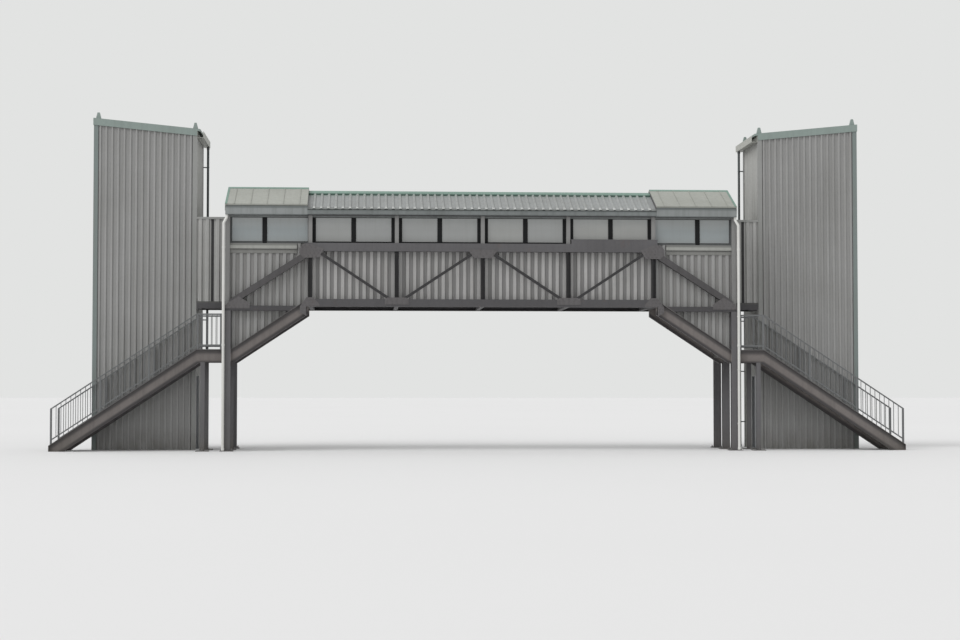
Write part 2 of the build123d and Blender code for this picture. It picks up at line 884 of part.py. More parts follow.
def stair_strings():
    """Deep channel strings with the flanges turned outwards, one each side of the treads."""
    with BuildPart() as near:
        for points in (string_outline_upper(), string_outline_lower()):
            with BuildSketch(upright(string_web_y)):
                outline(points)
            extrude(amount=string_flange)
            with BuildSketch(upright(string_web_y - string_web)) as pocket:
                outline(points)
                offset(amount=-plate, kind=Kind.INTERSECTION, mode=Mode.REPLACE)
            extrude(amount=string_flange, mode=Mode.SUBTRACT)
    with BuildPart() as strings:
        add(near.part)
        mirror(about=stair_plane)
    save_both_ends(strings, "stair_strings")


def tread_section(x, level):
    """Section of one folded-plate tread whose lower edge is its nosing."""
    outer = x + going + tread_nosing
    outline([
        (x, level), (outer, level), (outer, level - tread_depth),
        (outer - tread_plate, level - tread_depth), (outer - tread_plate, level - tread_plate),
        (x + tread_plate, level - tread_plate), (x + tread_plate, level - tread_depth),
        (x, level - tread_depth),
    ])


def stair_treads():
    """Folded-plate treads between the strings, in two flights."""
    upper = [(stair_head_x + going * i, floor_level - riser * (i + 1))
             for i in range(upper_risers - 1)]
    lower = [(landing_end_x + going * i, landing_level - riser * (i + 1))
             for i in range(lower_risers - 1)]
    with BuildPart() as treads:
        for x, level in upper + lower:
            with BuildSketch(upright(stair_back_y)):
                tread_section(x, level)
            extrude(amount=stair_clear_width)
    save_both_ends(treads, "stair_treads")


def stair_landings():
    """Half-way landings on two bearers, notched round the trestle columns."""
    under = landing_level - landing_plate
    with BuildPart() as landing:
        block((landing_start_x, landing_end_x), (string_web_y, stair_back_y),
              (under, landing_level))
        for x in (landing_start_x, landing_end_x - landing_bearer_width):
            block((x, x + landing_bearer_width), (string_web_y, stair_back_y),
                  (under - landing_bearer_depth, under))
        block((trestle_inner_x, trestle_outer_x), (string_web_y, inner_y),
              (under, landing_level), mode=Mode.SUBTRACT)
    save_both_ends(landing, "stair_landings")


def rail_points(height):
    """A line at one height above the nosings, from the trestle to the stair's foot."""
    start = trestle_outer_x + rail_setback
    return [
        (start, nosing(start) + height), (landing_end_x, landing_level + height),
        (stair_foot_x, nosing(stair_foot_x) + height),
    ]


def rail_band(height, size):
    """The closed outline of a rail that follows the stair at one height."""
    low = rail_points(height - size)
    high = rail_points(height)
    return low + high[::-1]


def stair_balustrades():
    """Handrail, bottom rail, posts and bars on both strings of the lower flight."""
    centre = string_web_y - string_flange / 2
    low = bottom_rail_gap + string_above_nosing
    start = trestle_outer_x + rail_setback
    post_x = [start + baluster_post / 2, landing_end_x - baluster_post / 2]
    for i in range(1, flight_posts + 1):
        post_x.append(landing_end_x + i * (stair_foot_x - landing_end_x) / flight_posts
                      - baluster_post / 2)
    bar_pitch = going / 2
    bar_count = int((stair_foot_x - start) // bar_pitch)
    with BuildPart() as near:
        for height in (rail_height, low + rail_size):
            with BuildSketch(upright(centre + rail_size / 2)):
                outline(rail_band(height, rail_size))
            extrude(amount=rail_size)
        for i in range(1, bar_count):
            x = start + i * bar_pitch
            base = nosing(x) + low + rail_size / 2
            top = nosing(x) + rail_height - rail_size / 2
            block((x - bar_size / 2, x + bar_size / 2),
                  (centre - bar_size / 2, centre + bar_size / 2), (base, top))
        for x in post_x:
            x0 = x - baluster_post / 2
            x1 = x + baluster_post / 2
            with BuildSketch(upright(centre + baluster_post / 2)):
                outline([(x0, nosing(x0) + string_above_nosing),
                         (x1, nosing(x1) + string_above_nosing),
                         (x1, nosing(x1) + rail_height - rail_size / 2),
                         (x0, nosing(x0) + rail_height - rail_size / 2)])
            extrude(amount=baluster_post)
    with BuildPart() as balustrades:
        add(near.part)
        mirror(about=stair_plane)
    save_both_ends(balustrades, "stair_balustrades")


def link_guards():
    """Guard rails along the floor's edge beside the stair well."""
    start = stair_head_x + rail_setback
    end = trestle_x - rail_setback / 2
    centre = link_edge_y + doorway_post_lap
    pitch = (end - start) / guard_bars
    with BuildPart() as guard:
        for top in (floor_level + guard_height, floor_level + bottom_rail_gap + rail_size):
            block((start, end), (centre - rail_size / 2, centre + rail_size / 2),
                  (top - rail_size, top))
        for i in range(1, guard_bars):
            x = start + i * pitch
            block((x - bar_size / 2, x + bar_size / 2),
                  (centre - bar_size / 2, centre + bar_size / 2),
                  (floor_level + bottom_rail_gap, floor_level + guard_height - rail_size / 2))
        for x in (start, (start + end - baluster_post) / 2, end - baluster_post):
            block((x, x + baluster_post),
                  (centre - baluster_post / 2, centre + baluster_post / 2),
                  (floor_level, floor_level + guard_height - rail_size / 2))
    save_both_ends(guard, "link_guard_rails")


# Columns

def h_column(x, y, width, depth, top, rows):
    """An H-section column on its base plate, with one or two rows of two anchor holes."""
    with BuildSketch(Plane.XY.offset(column_base_plate)) as section:
        with Locations((x, y)):
            Rectangle(width, depth)
            with GridLocations((width + column_web) / 2, 0, 2, 1):
                Rectangle((width - column_web) / 2, depth - 2 * column_flange,
                          mode=Mode.SUBTRACT)
    extrude(section.sketch, amount=top - column_base_plate)
    with BuildSketch() as base:
        with Locations((x, y)):
            Rectangle(column_base, column_base)
            with GridLocations(anchor_spacing, anchor_spacing, rows, 2):
                Circle(anchor_hole_radius, mode=Mode.SUBTRACT)
    extrude(base.sketch, amount=column_base_plate)


def trestle_columns():
    """Columns under the truss ends and under the link's edge beam."""
    near_y = axis_y - truss_offset
    middle_y = link_edge_y
    far_y = axis_y + truss_offset
    with BuildPart() as columns:
        h_column(trestle_x, near_y, column_width, member_width, end_tie_base, 2)
        h_column(trestle_x, middle_y, column_width, member_width, bottom_chord_base, 2)
        h_column(trestle_x, far_y, column_width, member_width, bottom_chord_base, 2)
    save_both_ends(columns, "trestle_columns")


def landing_columns():
    """Slighter columns under the outer end of each landing."""
    fall = string_depth / cos(slope_angle)
    turn_x = landing_end_x - (fall - string_depth) / slope
    x = turn_x - landing_column_width / 2
    top = landing_level + string_above_nosing - string_depth
    with BuildPart() as columns:
        for y in (string_web_y - string_flange / 2, stair_back_y + string_flange / 2):
            h_column(x, y, landing_column_width, string_flange, top, 1)
    save_both_ends(columns, "landing_columns")


# Link and lift tower

def link_walls():
    """Short ribbed walls of the link, parted by a movement joint, and its flat roof."""
    height = head_level - floor_level
    base = link_wall_thickness - rib_depth
    args = (height, base, rib_depth, rib_pitch, wall_rib_pan, wall_rib_crest)
    joint_x = (link_start_x + link_joint_start, link_start_x + link_joint_start + link_joint_width)
    front_y = tower_front_y + link_wall_thickness
    back_y = link_back_y - link_wall_thickness
    with BuildPart() as walls:
        for x0, x1 in ((link_start_x, joint_x[0]), (joint_x[1], link_end_x)):
            front = Plane(origin=(x1, front_y, floor_level), x_dir=(-1, 0, 0), z_dir=(0, 0, 1))
            back = Plane(origin=(x0, back_y, floor_level), x_dir=(1, 0, 0), z_dir=(0, 0, 1))
            wall_sheet(front, x1 - x0, *args)
            wall_sheet(back, x1 - x0, *args)
    save_both_ends(walls, "link_walls")
    with BuildPart() as joints:
        for y in ((tower_front_y + rib_depth, front_y), (back_y, link_back_y - rib_depth)):
            block(joint_x, y, (floor_level, head_level))
    save_both_ends(joints, "link_joints")
    with BuildPart() as roof:
        block((link_start_x, link_end_x),
              (tower_front_y - link_roof_edge / 2, link_back_y + link_roof_edge),
              (head_level, head_level + link_roof_thickness))
    save_both_ends(roof, "link_roofs")


tower_slope = (tower_high_eaves - tower_low_eaves) / tower_length
tower_roof_plane = Plane(
    origin=(tower_inner_x, tower_front_y, tower_low_eaves),
    x_dir=(0, 1, 0), z_dir=(-tower_slope, 0, 1),
)
tower_wall = tower_panel + rib_depth
tower_ribs = (tower_panel, rib_depth, tower_rib_pitch, tower_rib_pan, tower_rib_crest)
lift_door_y = (tower_front_y + lift_door_offset,
               tower_front_y + lift_door_offset + lift_door_width)
lift_door_sills = (0, floor_level)


def tower_front_and_back_walls():
    """Ribbed walls across the tower, their heads cut to the roof's fall."""
    length = tower_length - 2 * rib_depth
    front = Plane(origin=(tower_outer_x - rib_depth, tower_front_y + tower_wall, 0),
                  x_dir=(-1, 0, 0), z_dir=(0, 0, 1))
    back = Plane(origin=(tower_inner_x + rib_depth, tower_back_y - tower_wall, 0),
                 x_dir=(1, 0, 0), z_dir=(0, 0, 1))
    for plane, name in ((front, "tower_front_walls"), (back, "tower_back_walls")):
        with BuildPart() as wall:
            wall_sheet(plane, length, tower_high_eaves, *tower_ribs)
            split(bisect_by=tower_roof_plane, keep=Keep.BOTTOM)
        save_both_ends(wall, name)


def tower_side_walls():
    """The wall that faces the bridge, with its two lift doorways, and the far side."""
    length = tower_depth - 2 * tower_wall
    inner = Plane(origin=(tower_inner_x + tower_wall, tower_front_y + tower_wall, 0),
                  x_dir=(0, 1, 0), z_dir=(0, 0, 1))
    outer = Plane(origin=(tower_outer_x - tower_wall, tower_back_y - tower_wall, 0),
                  x_dir=(0, -1, 0), z_dir=(0, 0, 1))
    with BuildPart() as wall:
        wall_sheet(inner, length, tower_high_eaves, *tower_ribs)
        split(bisect_by=tower_roof_plane, keep=Keep.BOTTOM)
        for sill in lift_door_sills:
            block((tower_inner_x, tower_inner_x + tower_wall), lift_door_y,
                  (sill, sill + lift_door_height), mode=Mode.SUBTRACT)
    save_both_ends(wall, "tower_inner_walls")
    with BuildPart() as far_wall:
        wall_sheet(outer, length, tower_high_eaves, *tower_ribs)
        split(bisect_by=tower_roof_plane, keep=Keep.BOTTOM)
    save_both_ends(far_wall, "tower_outer_walls")


def lift_doors():
    """Closed two-leaf lift doors at the platform and at the bridge floor."""
    back_x = tower_inner_x + tower_wall
    face_x = back_x - lift_door_thickness
    middle = (lift_door_y[0] + lift_door_y[1]) / 2
    with BuildPart() as doors:
        for sill in lift_door_sills:
            block((face_x, back_x), lift_door_y, (sill, sill + lift_door_height))
            block((face_x, face_x + lift_door_groove),
                  (middle - lift_door_groove / 2, middle + lift_door_groove / 2),
                  (sill, sill + lift_door_height), mode=Mode.SUBTRACT)
    save_both_ends(doors, "lift_doors")


def tower_trims():
    """Folded corner flashings on the four corners of the tower."""
    leg = tower_trim_leg
    corners = (
        (tower_inner_x, tower_front_y, 1, 1), (tower_outer_x, tower_front_y, -1, 1),
        (tower_inner_x, tower_back_y, 1, -1), (tower_outer_x, tower_back_y, -1, -1),
    )
    with BuildPart() as trims:
        for x, y, sx, sy in corners:
            with BuildSketch(Plane.XY):
                outline([
                    (x - sx * tower_trim, y - sy * tower_trim), (x + sx * leg, y - sy * tower_trim),
                    (x + sx * leg, y), (x, y), (x, y + sy * leg),
                    (x - sx * tower_trim, y + sy * leg),
                ])
            extrude(amount=tower_high_eaves)
        split(bisect_by=tower_roof_plane, keep=Keep.BOTTOM)
    save_both_ends(trims, "tower_corner_trims")


def tower_roofs():
    """Mono-pitch roofs that fall towards the bridge, with verges and four tapered lugs."""
    over = tower_roof_overhang
    thick = tower_roof_thickness

    def head(x):
        return tower_low_eaves + tower_slope * (x - tower_inner_x)

    x0 = tower_inner_x - tower_gutter_width / 2
    x1 = tower_outer_x + over
    with BuildPart() as roof:
        with BuildSketch(upright(tower_back_y + over)):
            outline([(x0, head(x0)), (x1, head(x1)), (x1, head(x1) + thick),
                     (x0, head(x0) + thick)])
        extrude(amount=tower_depth + 2 * over)
        low = thick - tower_verge_depth
        for y in (tower_back_y + over, tower_front_y - over + tower_verge_thickness):
            with BuildSketch(upright(y)):
                outline([(tower_inner_x, head(tower_inner_x) + low), (x1, head(x1) + low),
                         (x1, head(x1)), (tower_inner_x, head(tower_inner_x))])
            extrude(amount=tower_verge_thickness)
        block((x1 - tower_verge_thickness, x1),
              (tower_front_y - over, tower_back_y + over), (head(x1) + low, head(x1)))
        for x in (tower_inner_x + tower_lug_inner_inset, tower_outer_x - tower_lug_outer_inset):
            foot = head(x) + thick / 2
            top = foot + thick / 2 + tower_lug_height
            for y in (tower_front_y + tower_lug_side_inset, tower_back_y - tower_lug_side_inset):
                with BuildSketch(upright(y + tower_lug_thickness / 2)):
                    outline([(x - tower_lug_width / 2, foot), (x + tower_lug_width / 2, foot),
                             (x + tower_lug_top / 2, top), (x - tower_lug_top / 2, top)])
                extrude(amount=tower_lug_thickness)
    save_both_ends(roof, "tower_roofs")


def downpipe_with_clips(x, y, top, wall_x):
    """A pipe down to the ground, with clips to the wall beside it."""
    with BuildSketch(Plane.XY) as section:
        with Locations((x, y)):
            Circle(downpipe_radius)
    extrude(section.sketch, amount=top)
    clip = downpipe_clip_spacing / 2
    while clip < top:
        block((x, wall_x), (y - downpipe_radius / 2, y + downpipe_radius / 2),
              (clip - downpipe_clip_height / 2, clip + downpipe_clip_height / 2))
        clip += downpipe_clip_spacing


def tower_rainwater():
    """The box gutter under each tower's low eaves, and its downpipe with clips."""
    x0 = tower_inner_x - tower_gutter_width
    x1 = tower_inner_x - tower_trim
    top = tower_low_eaves - tower_slope * tower_gutter_width / 2 - tower_gutter_drop
    base = top - tower_gutter_depth
    wall = gutter_wall
    pipe_x = tower_inner_x - tower_trim - downpipe_stand_off - downpipe_radius
    pipe_y = tower_back_y - tower_trim_leg / 2
    with BuildPart() as gutter:
        with BuildSketch(upright(tower_back_y + tower_gutter_end)):
            outline([
                (x0, base), (x1, base), (x1, top), (x1 - wall, top), (x1 - wall, base + wall),
                (x0 + wall, base + wall), (x0 + wall, top), (x0, top),
            ])
        extrude(amount=tower_depth + tower_gutter_end)
    save_both_ends(gutter, "tower_gutters")
    with BuildPart() as downpipe:
        downpipe_with_clips(pipe_x, pipe_y, base, tower_inner_x - tower_trim)
    save_both_ends(downpipe, "tower_downpipes")


def corner_downpipes():
    """White pipes down the enclosure's front corners, bent back to the end gutters above."""
    x = link_start_x + corner_pipe_radius
    y = face_y - corner_pipe_gap - corner_pipe_radius
    gutter_y = axis_y - gutter_reach + gutter_width / 2
    gutter_base = roof_underside(gutter_reach - gutter_wall, end_roof_lift) - end_fascia_depth
    bend_x = link_start_x - corner_pipe_radius
    turn = gutter_base - corner_pipe_bend / 2
    foot = column_base_plate
    with BuildPart() as pipe:
        with BuildLine() as route:
            Polyline((x, y, foot), (x, y, turn - corner_pipe_bend), (bend_x, gutter_y, turn),
                     (bend_x, gutter_y, gutter_base))
        with BuildSketch(Plane.XY.offset(foot)) as section:
            with Locations((x, y)):
                Circle(corner_pipe_radius)
        sweep(section.sketch, path=route.line, transition=Transition.RIGHT)
        clip = downpipe_clip_spacing / 2
        while clip < end_tie_top:
            block((x - corner_pipe_radius, x), (y, face_y),
                  (clip - downpipe_clip_height / 2, clip + downpipe_clip_height / 2))
            clip += downpipe_clip_spacing
    save_both_ends(pipe, "corner_downpipes")


os.makedirs("parts", exist_ok=True)
top_chord()
bottom_chords()
end_ties()
truss_verticals()
diagonals()
gusset_plates()
floor_beams()
decks()
span_sheeting()
stair_sheeting()
windows()
wall_posts()
end_sills()
eaves_beams()
roof_frames()
main_roof()
end_roofs()
gutters()
end_walls()
stair_strings()
stair_treads()
stair_landings()
stair_balustrades()
link_guards()
trestle_columns()
landing_columns()
link_walls()
tower_front_and_back_walls()
tower_side_walls()
lift_doors()
tower_trims()
tower_roofs()
tower_rainwater()
corner_downpipes()
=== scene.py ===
import json
import math
import random

import bmesh
import bpy
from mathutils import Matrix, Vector

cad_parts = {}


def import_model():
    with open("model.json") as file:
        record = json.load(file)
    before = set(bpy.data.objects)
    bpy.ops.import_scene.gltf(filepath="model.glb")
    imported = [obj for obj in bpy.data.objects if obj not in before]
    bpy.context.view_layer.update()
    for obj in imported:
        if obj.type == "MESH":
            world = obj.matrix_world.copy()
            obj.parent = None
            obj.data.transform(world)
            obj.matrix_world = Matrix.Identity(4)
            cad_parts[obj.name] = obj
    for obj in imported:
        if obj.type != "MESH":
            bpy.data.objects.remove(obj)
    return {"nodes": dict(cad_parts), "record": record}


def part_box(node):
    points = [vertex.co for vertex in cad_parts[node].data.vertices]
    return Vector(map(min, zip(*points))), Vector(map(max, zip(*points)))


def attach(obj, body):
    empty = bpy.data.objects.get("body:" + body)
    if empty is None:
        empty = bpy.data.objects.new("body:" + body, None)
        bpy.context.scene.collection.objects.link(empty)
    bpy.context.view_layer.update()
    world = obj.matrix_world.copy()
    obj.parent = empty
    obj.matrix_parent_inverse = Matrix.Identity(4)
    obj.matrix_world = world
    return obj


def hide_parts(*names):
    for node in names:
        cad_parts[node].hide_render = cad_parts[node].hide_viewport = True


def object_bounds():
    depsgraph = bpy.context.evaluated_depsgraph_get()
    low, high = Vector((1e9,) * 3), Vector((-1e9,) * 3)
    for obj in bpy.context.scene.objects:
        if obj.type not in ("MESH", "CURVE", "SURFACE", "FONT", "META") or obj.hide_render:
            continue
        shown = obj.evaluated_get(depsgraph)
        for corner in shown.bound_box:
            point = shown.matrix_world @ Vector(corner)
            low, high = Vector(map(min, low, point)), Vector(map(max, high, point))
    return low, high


# Lengths are in metres. The bridge runs along x and its ends mirror each other, the viewer is on
# its -y side, and the platforms are at z = 0.

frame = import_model()
nodes = frame["nodes"]
cad_low, cad_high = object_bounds()
scene = bpy.context.scene
random.seed(11)

# The camera stands on the trackside, at a driver's eye height, as far off as in the photograph
camera_x = -3.26
camera_distance = 53.2
camera_height = 1.645
camera_lens = 70.0
camera_pitch = math.radians(2.2)

# Daylight under a white sky. The sun's tilt is from straight overhead.
sky_strength = 0.77
sky_shown = (226, 227, 226)
sun_strength = 1.6
sun_spread = math.radians(40.0)
sun_tilt = math.radians(46.0)
sun_turn = math.radians(-58.0)
floor_grey = 0.72
floor_size = 1200.0

# Places read from the frame. A face is a distance from the bridge's long axis.
deck_low, deck_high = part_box("span_deck")
frames_low, frames_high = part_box("front_window_frames")
chord_low, chord_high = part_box("front_top_chord")
gutters_low, gutters_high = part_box("eaves_gutters")
fascias_low, fascias_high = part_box("end_fascias")
lift_low, lift_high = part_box("lift_doors")
axis_y = (deck_low.y + deck_high.y) / 2
floor_z = deck_high.z
sill_z, head_z = frames_low.z, frames_high.z
corner_x = frames_high.x
enclosure_x = fascias_high.x
gusset_face = axis_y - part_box("front_gusset_plates")[0].y
chord_face = axis_y - chord_low.y
crest_face = axis_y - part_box("front_wall_sheeting")[0].y
gutter_face = axis_y - gutters_low.y
end_sill_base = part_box("end_sills")[0].z
tower_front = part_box("tower_front_walls")[0].y
tower_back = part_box("tower_back_walls")[1].y
tower_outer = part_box("tower_outer_walls")[1].x
link_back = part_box("link_walls")[1].y

# Sizes that the boxes don't give, of the truss first
bay = 2.4
chord_end = 4.8
deep_rise = 0.13
truss_offset = 1.3
bolt_size = 0.019

# Walls and windows
rib_depth = 0.03
rib_pitch = 0.2
pan_face = crest_face - rib_depth
post_half = 0.055
end_sill_start = 5.17
frame_rail = 0.05
frame_gap = 0.01
frame_jamb = 0.13
end_frame_start = 4.81
end_frame_jamb = 0.045
end_mullion_x = 6.065
mullion_half = 0.055
first_end_pane = end_frame_start + end_frame_jamb

# Roof. Distances down a slope start at the ridge, and heights off it are square to it.
roof_angle = math.radians(24.0)
eaves_beam_depth = 0.195
ridge_z = head_z + eaves_beam_depth + truss_offset * math.tan(roof_angle)
eaves_reach = 1.37
roof_run = eaves_reach / math.cos(roof_angle)
sheet_base = 0.005
sheet_crest = sheet_base + rib_depth
end_roof_start = 4.88
end_roof_lift = 0.1
end_roof_thickness = 0.04

# Lift towers
tower_inner = 8.0525
tower_rib_pitch = 0.17
tower_wall = 0.11
tower_eaves = 9.05
tower_slope = 0.285 / 2.9
tower_roof_thickness = 0.06
door_height = 2.1

# Stairs, on their trestles
riser = 0.175
going = 0.265
slope = riser / going
upper_treads = 7
lower_treads = 15
stair_head = 4.8575
stair_width = 1.2
landing_end = 7.9125
landing_z = 2.8
string_top = 0.015
trestle_x = 7.0825
landing_column_x = 7.7444
base_plate = 0.02
anchor_spacing = 0.27


def linear(value):
    """One screen value from 0 to 255 as a linear colour value."""
    c = value / 255.0
    return c / 12.92 if c <= 0.04045 else ((c + 0.055) / 1.055) ** 2.4


def colour(r, g, b):
    """A screen colour as linear RGBA."""
    return (linear(r), linear(g), linear(b), 1.0)


# Materials

rust_tone = colour(98, 72, 58)
splash_tone = colour(84, 80, 72)
splash_height = 0.7
speck_share = 0.1


class Nodes:
    """Short names for building one material's node tree."""

    def __init__(self, name):
        self.material = bpy.data.materials.new(name)
        self.material.use_nodes = True
        self.tree = self.material.node_tree
        self.shader = self.tree.nodes["Principled BSDF"]
        self.place = self.new("ShaderNodeTexCoord").outputs["Object"]
        split = self.new("ShaderNodeSeparateXYZ")
        self.link(self.place, split.inputs[0])
        self.x, self.y, self.z = split.outputs

    def new(self, kind, **settings):
        node = self.tree.nodes.new(kind)
        for key, value in settings.items():
            setattr(node, key, value)
        return node

    def link(self, a, b):
        self.tree.links.new(a, b)

    def stretched(self, scale):
        """The object's coordinates, scaled by three factors."""
        mapping = self.new("ShaderNodeMapping")
        mapping.inputs["Scale"].default_value = scale
        self.link(self.place, mapping.inputs["Vector"])
        return mapping.outputs["Vector"]

    def noise(self, scale, detail=4.0, rough=0.55):
        """A noise value over coordinates scaled by three factors."""
        node = self.new("ShaderNodeTexNoise")
        node.inputs["Scale"].default_value = 1.0
        node.inputs["Detail"].default_value = detail
        node.inputs["Roughness"].default_value = rough
        self.link(self.stretched(scale), node.inputs["Vector"])
        return node.outputs["Fac"]

    def ramp(self, value, low, high, out_low=0.0, out_high=1.0):
        """The value mapped from one range to another, and clamped."""
        node = self.new("ShaderNodeMapRange", clamp=True)
        node.inputs["From Min"].default_value = low
        node.inputs["From Max"].default_value = high
        node.inputs["To Min"].default_value = out_low
        node.inputs["To Max"].default_value = out_high
        self.link(value, node.inputs["Value"])
        return node.outputs["Result"]

    def step(self, value, edge, blur):
        """Zero below an edge and one above it, blurred by so much on either side."""
        return self.ramp(value, edge - blur, edge + blur)

    def math(self, operation, a, b=0.0):
        node = self.new("ShaderNodeMath", operation=operation)
        for socket, value in zip(node.inputs, (a, b)):
            if isinstance(value, (int, float)):
                socket.default_value = value
            else:
                self.link(value, socket)
        return node.outputs[0]

    def away(self, value, centre):
        """How far a coordinate is from a centre, on either side."""
        return self.math("ABSOLUTE", self.math("SUBTRACT", value, centre))

    def inside(self, value, low, high):
        """How far a coordinate is inside the nearer of two limits."""
        half = (high - low) / 2
        return self.math("SUBTRACT", half, self.away(value, low + half))

    def along(self):
        """The distance from the middle of the bridge, towards either end."""
        return self.math("ABSOLUTE", self.x)

    def across(self):
        """The distance from the bridge's long axis, towards the front or the back."""
        return self.away(self.y, axis_y)

    def mix(self, factor, a, b):
        """Two colours mixed, either of which may be a fixed colour."""
        node = self.new("ShaderNodeMix", data_type="RGBA")
        for socket, value in ((node.inputs[0], factor), (node.inputs[6], a), (node.inputs[7], b)):
            if isinstance(value, (int, float, tuple)):
                socket.default_value = value
            else:
                self.link(value, socket)
        return node.outputs[2]

    def soiled(self, tone, dirt, *layers):
        """A tone under layers of dirt, each with a mask and the share that it covers there."""
        for mask, share in layers:
            tone = self.mix(self.math("MULTIPLY", mask, share), tone, dirt)
        return tone

    def bump(self, height, strength, distance):
        node = self.new("ShaderNodeBump")
        node.inputs["Strength"].default_value = strength
        node.inputs["Distance"].default_value = distance
        self.link(height, node.inputs["Height"])
        self.link(node.outputs["Normal"], self.shader.inputs["Normal"])


def weathered(name, base, dirt, streak, blotch, rust, rough, metal=0.0,
              grain=220.0, grain_height=0.0004, foot=0.0, gloss=0.5, pattern=None):
    """Coated metal with rain streaks, blotches of dirt and, where asked, rust and a dirty foot.

    A pattern takes the node tree and gives the colour under the dirt instead of the plain base.
    """
    m = Nodes(name)
    streaks = m.ramp(m.noise((9.0, 9.0, 0.35), 5.0), 0.45, 0.75)
    blotches = m.ramp(m.noise((0.55, 0.55, 0.8)), 0.35, 0.7)
    specks = m.ramp(m.noise((14.0, 14.0, 14.0), 3.0), 0.3, 0.7)
    tone = m.soiled(pattern(m) if pattern else base, dirt,
                    (blotches, blotch), (streaks, streak), (specks, speck_share))
    if rust:
        spots = m.ramp(m.noise((3.5, 3.5, 2.0), 8.0, 0.7), 0.60, 0.74)
        tone = m.soiled(tone, rust_tone, (spots, rust))
    if foot:
        splashes = m.ramp(m.noise((3.0, 3.0, 1.5)), 0.25, 0.6)
        near_ground = m.ramp(m.z, 0.0, splash_height, foot, 0.0)
        tone = m.mix(m.math("MULTIPLY", near_ground, splashes), tone, splash_tone)
    m.link(tone, m.shader.inputs["Base Color"])
    m.link(m.ramp(specks, 0.0, 1.0, rough - 0.06, rough + 0.1), m.shader.inputs["Roughness"])
    m.shader.inputs["Metallic"].default_value = metal
    m.shader.inputs["Specular IOR Level"].default_value = gloss
    m.bump(m.noise((grain, grain, grain), 2.0), 0.25, grain_height)
    return m.material


def ribs(depth, crest, pan):
    """A pattern for ribbed sheet: one colour on the crests and another in the pans. Every sheet
    here gets the darker colour in its pans, a painted shade in the recesses.
    """
    def pattern(m):
        return m.mix(m.ramp(depth(m), 0.2 * rib_depth, 0.85 * rib_depth), crest, pan)
    return pattern


def span_depth(m):
    """How far a point of the span's sheeting lies behind the crests."""
    return m.inside(m.y, axis_y - crest_face, axis_y + crest_face)


def link_depth(m):
    """How far a point of the link's walls lies behind the crests."""
    return m.inside(m.y, tower_front, link_back)


def tower_depth(m):
    """How far a point of a tower's walls lies behind the crests."""
    return m.math("MINIMUM", m.inside(m.along(), tower_inner, tower_outer),
                  m.inside(m.y, tower_front, tower_back))


def roof_depth(m):
    """How far a point of the main roof lies below the crests, square to the slope."""
    out = m.math("MULTIPLY", m.across(), math.sin(roof_angle))
    up = m.math("MULTIPLY", m.math("SUBTRACT", m.z, ridge_z), math.cos(roof_angle))
    return m.math("SUBTRACT", sheet_crest, m.math("ADD", out, up))


def roof_pattern(m):
    """Greyer pans as painted shade, pale crests and dark pans at the eaves as painted highlight
    and painted shadow, and a green tint that fades from the ridge.
    """
    out = m.across()
    tone = ribs(roof_depth, colour(149, 152, 151), colour(144, 147, 147))(m)
    # Near the eaves: crests painted pale as a highlight and pans painted dark as a shadow
    ends = ribs(roof_depth, colour(190, 192, 190), colour(108, 112, 111))(m)
    tone = m.mix(m.ramp(out, eaves_reach - 0.17, eaves_reach - 0.08), tone, ends)
    return m.mix(m.ramp(out, 0.15, 0.5, 0.5, 0.0), tone, colour(116, 140, 130))


def beyond_truss(m):
    """One in the end bays, and zero between the trusses' last verticals."""
    return m.ramp(m.along(), chord_end, chord_end + 0.1)


def wall_pattern(m):
    """Pale crests and much darker pans, a painted shade in the pans, with less contrast between
    them in the end bays.
    """
    # Painted shade: the pans far darker than the crests, less so in the end bays
    middle = ribs(span_depth, colour(170, 169, 168), colour(121, 120, 120))(m)
    ends = ribs(span_depth, colour(149, 149, 148), colour(128, 127, 126))(m)
    return m.mix(beyond_truss(m), middle, ends)


def truss_pattern(m):
    """Nearly black verticals and diagonals, a painted shade, and lighter raking end posts."""
    raking = m.ramp(m.along(), chord_end + 0.09, chord_end + 0.16)
    # The near black paints the shade on the verticals and diagonals
    return m.mix(raking, colour(42, 41, 43), colour(75, 73, 74))


def frame_pattern(m):
    """Nearly black frames and mullions, a painted shade, grey frames at the ends, and paler heads
    everywhere, a painted light against the shade under the gutters.
    """
    at_end = m.step(m.along(), first_end_pane, 0.005)
    off_mullion = m.step(m.away(m.along(), end_mullion_x), mullion_half + 0.005, 0.002)
    grey = m.math("MULTIPLY", at_end, off_mullion)
    # Painted shade: the middle frames and the mullions nearly black
    tone = m.mix(grey, colour(26, 27, 28), colour(92, 94, 94))
    # Painted light: the heads paler, against the shade under the gutters
    return m.mix(m.step(m.z, head_z - frame_rail, 0.002), tone, colour(134, 138, 137))


def sill_pattern(m):
    """Pale sills with a darker turned top edge."""
    return m.mix(m.step(m.z, sill_z - 0.06, 0.005), colour(155, 156, 151), colour(116, 117, 114))


def string_pattern(m):
    """Brownish webs, darker under the pale top flange, a painted shade with some grime, and
    darker along the bottom one, a painted shade.
    """
    flange = 0.012
    run = m.math("ADD", m.z, m.math("MULTIPLY", m.along(), slope))
    upper = m.math("SUBTRACT", run, floor_z + string_top + slope * stair_head)
    lower = m.math("SUBTRACT", run, landing_z + string_top + slope * landing_end)
    flat = m.math("SUBTRACT", m.z, landing_z + string_top)
    # The height over the top edge, which cranks at both ends of the landing
    over = m.math("MAXIMUM", lower, m.math("MINIMUM", upper, flat))
    # Painted shade with some grime, in a band under the top flange
    tone = m.mix(m.ramp(over, -0.16, -0.09), colour(116, 110, 107), colour(76, 73, 73))
    # Painted shade along the bottom flange
    tone = m.mix(m.ramp(over, -0.36, -0.30), colour(62, 59, 60), tone)
    return m.mix(m.step(over, -flange, 0.002), tone, colour(112, 110, 110))


def corner_trim_pattern(m):
    """Trims in the wall's colour beside the bridge, and green-grey ones on the far corners."""
    far = m.step(m.along(), (tower_inner + tower_outer) / 2, 0.5)
    return m.mix(far, colour(143, 144, 142), colour(116, 127, 125))


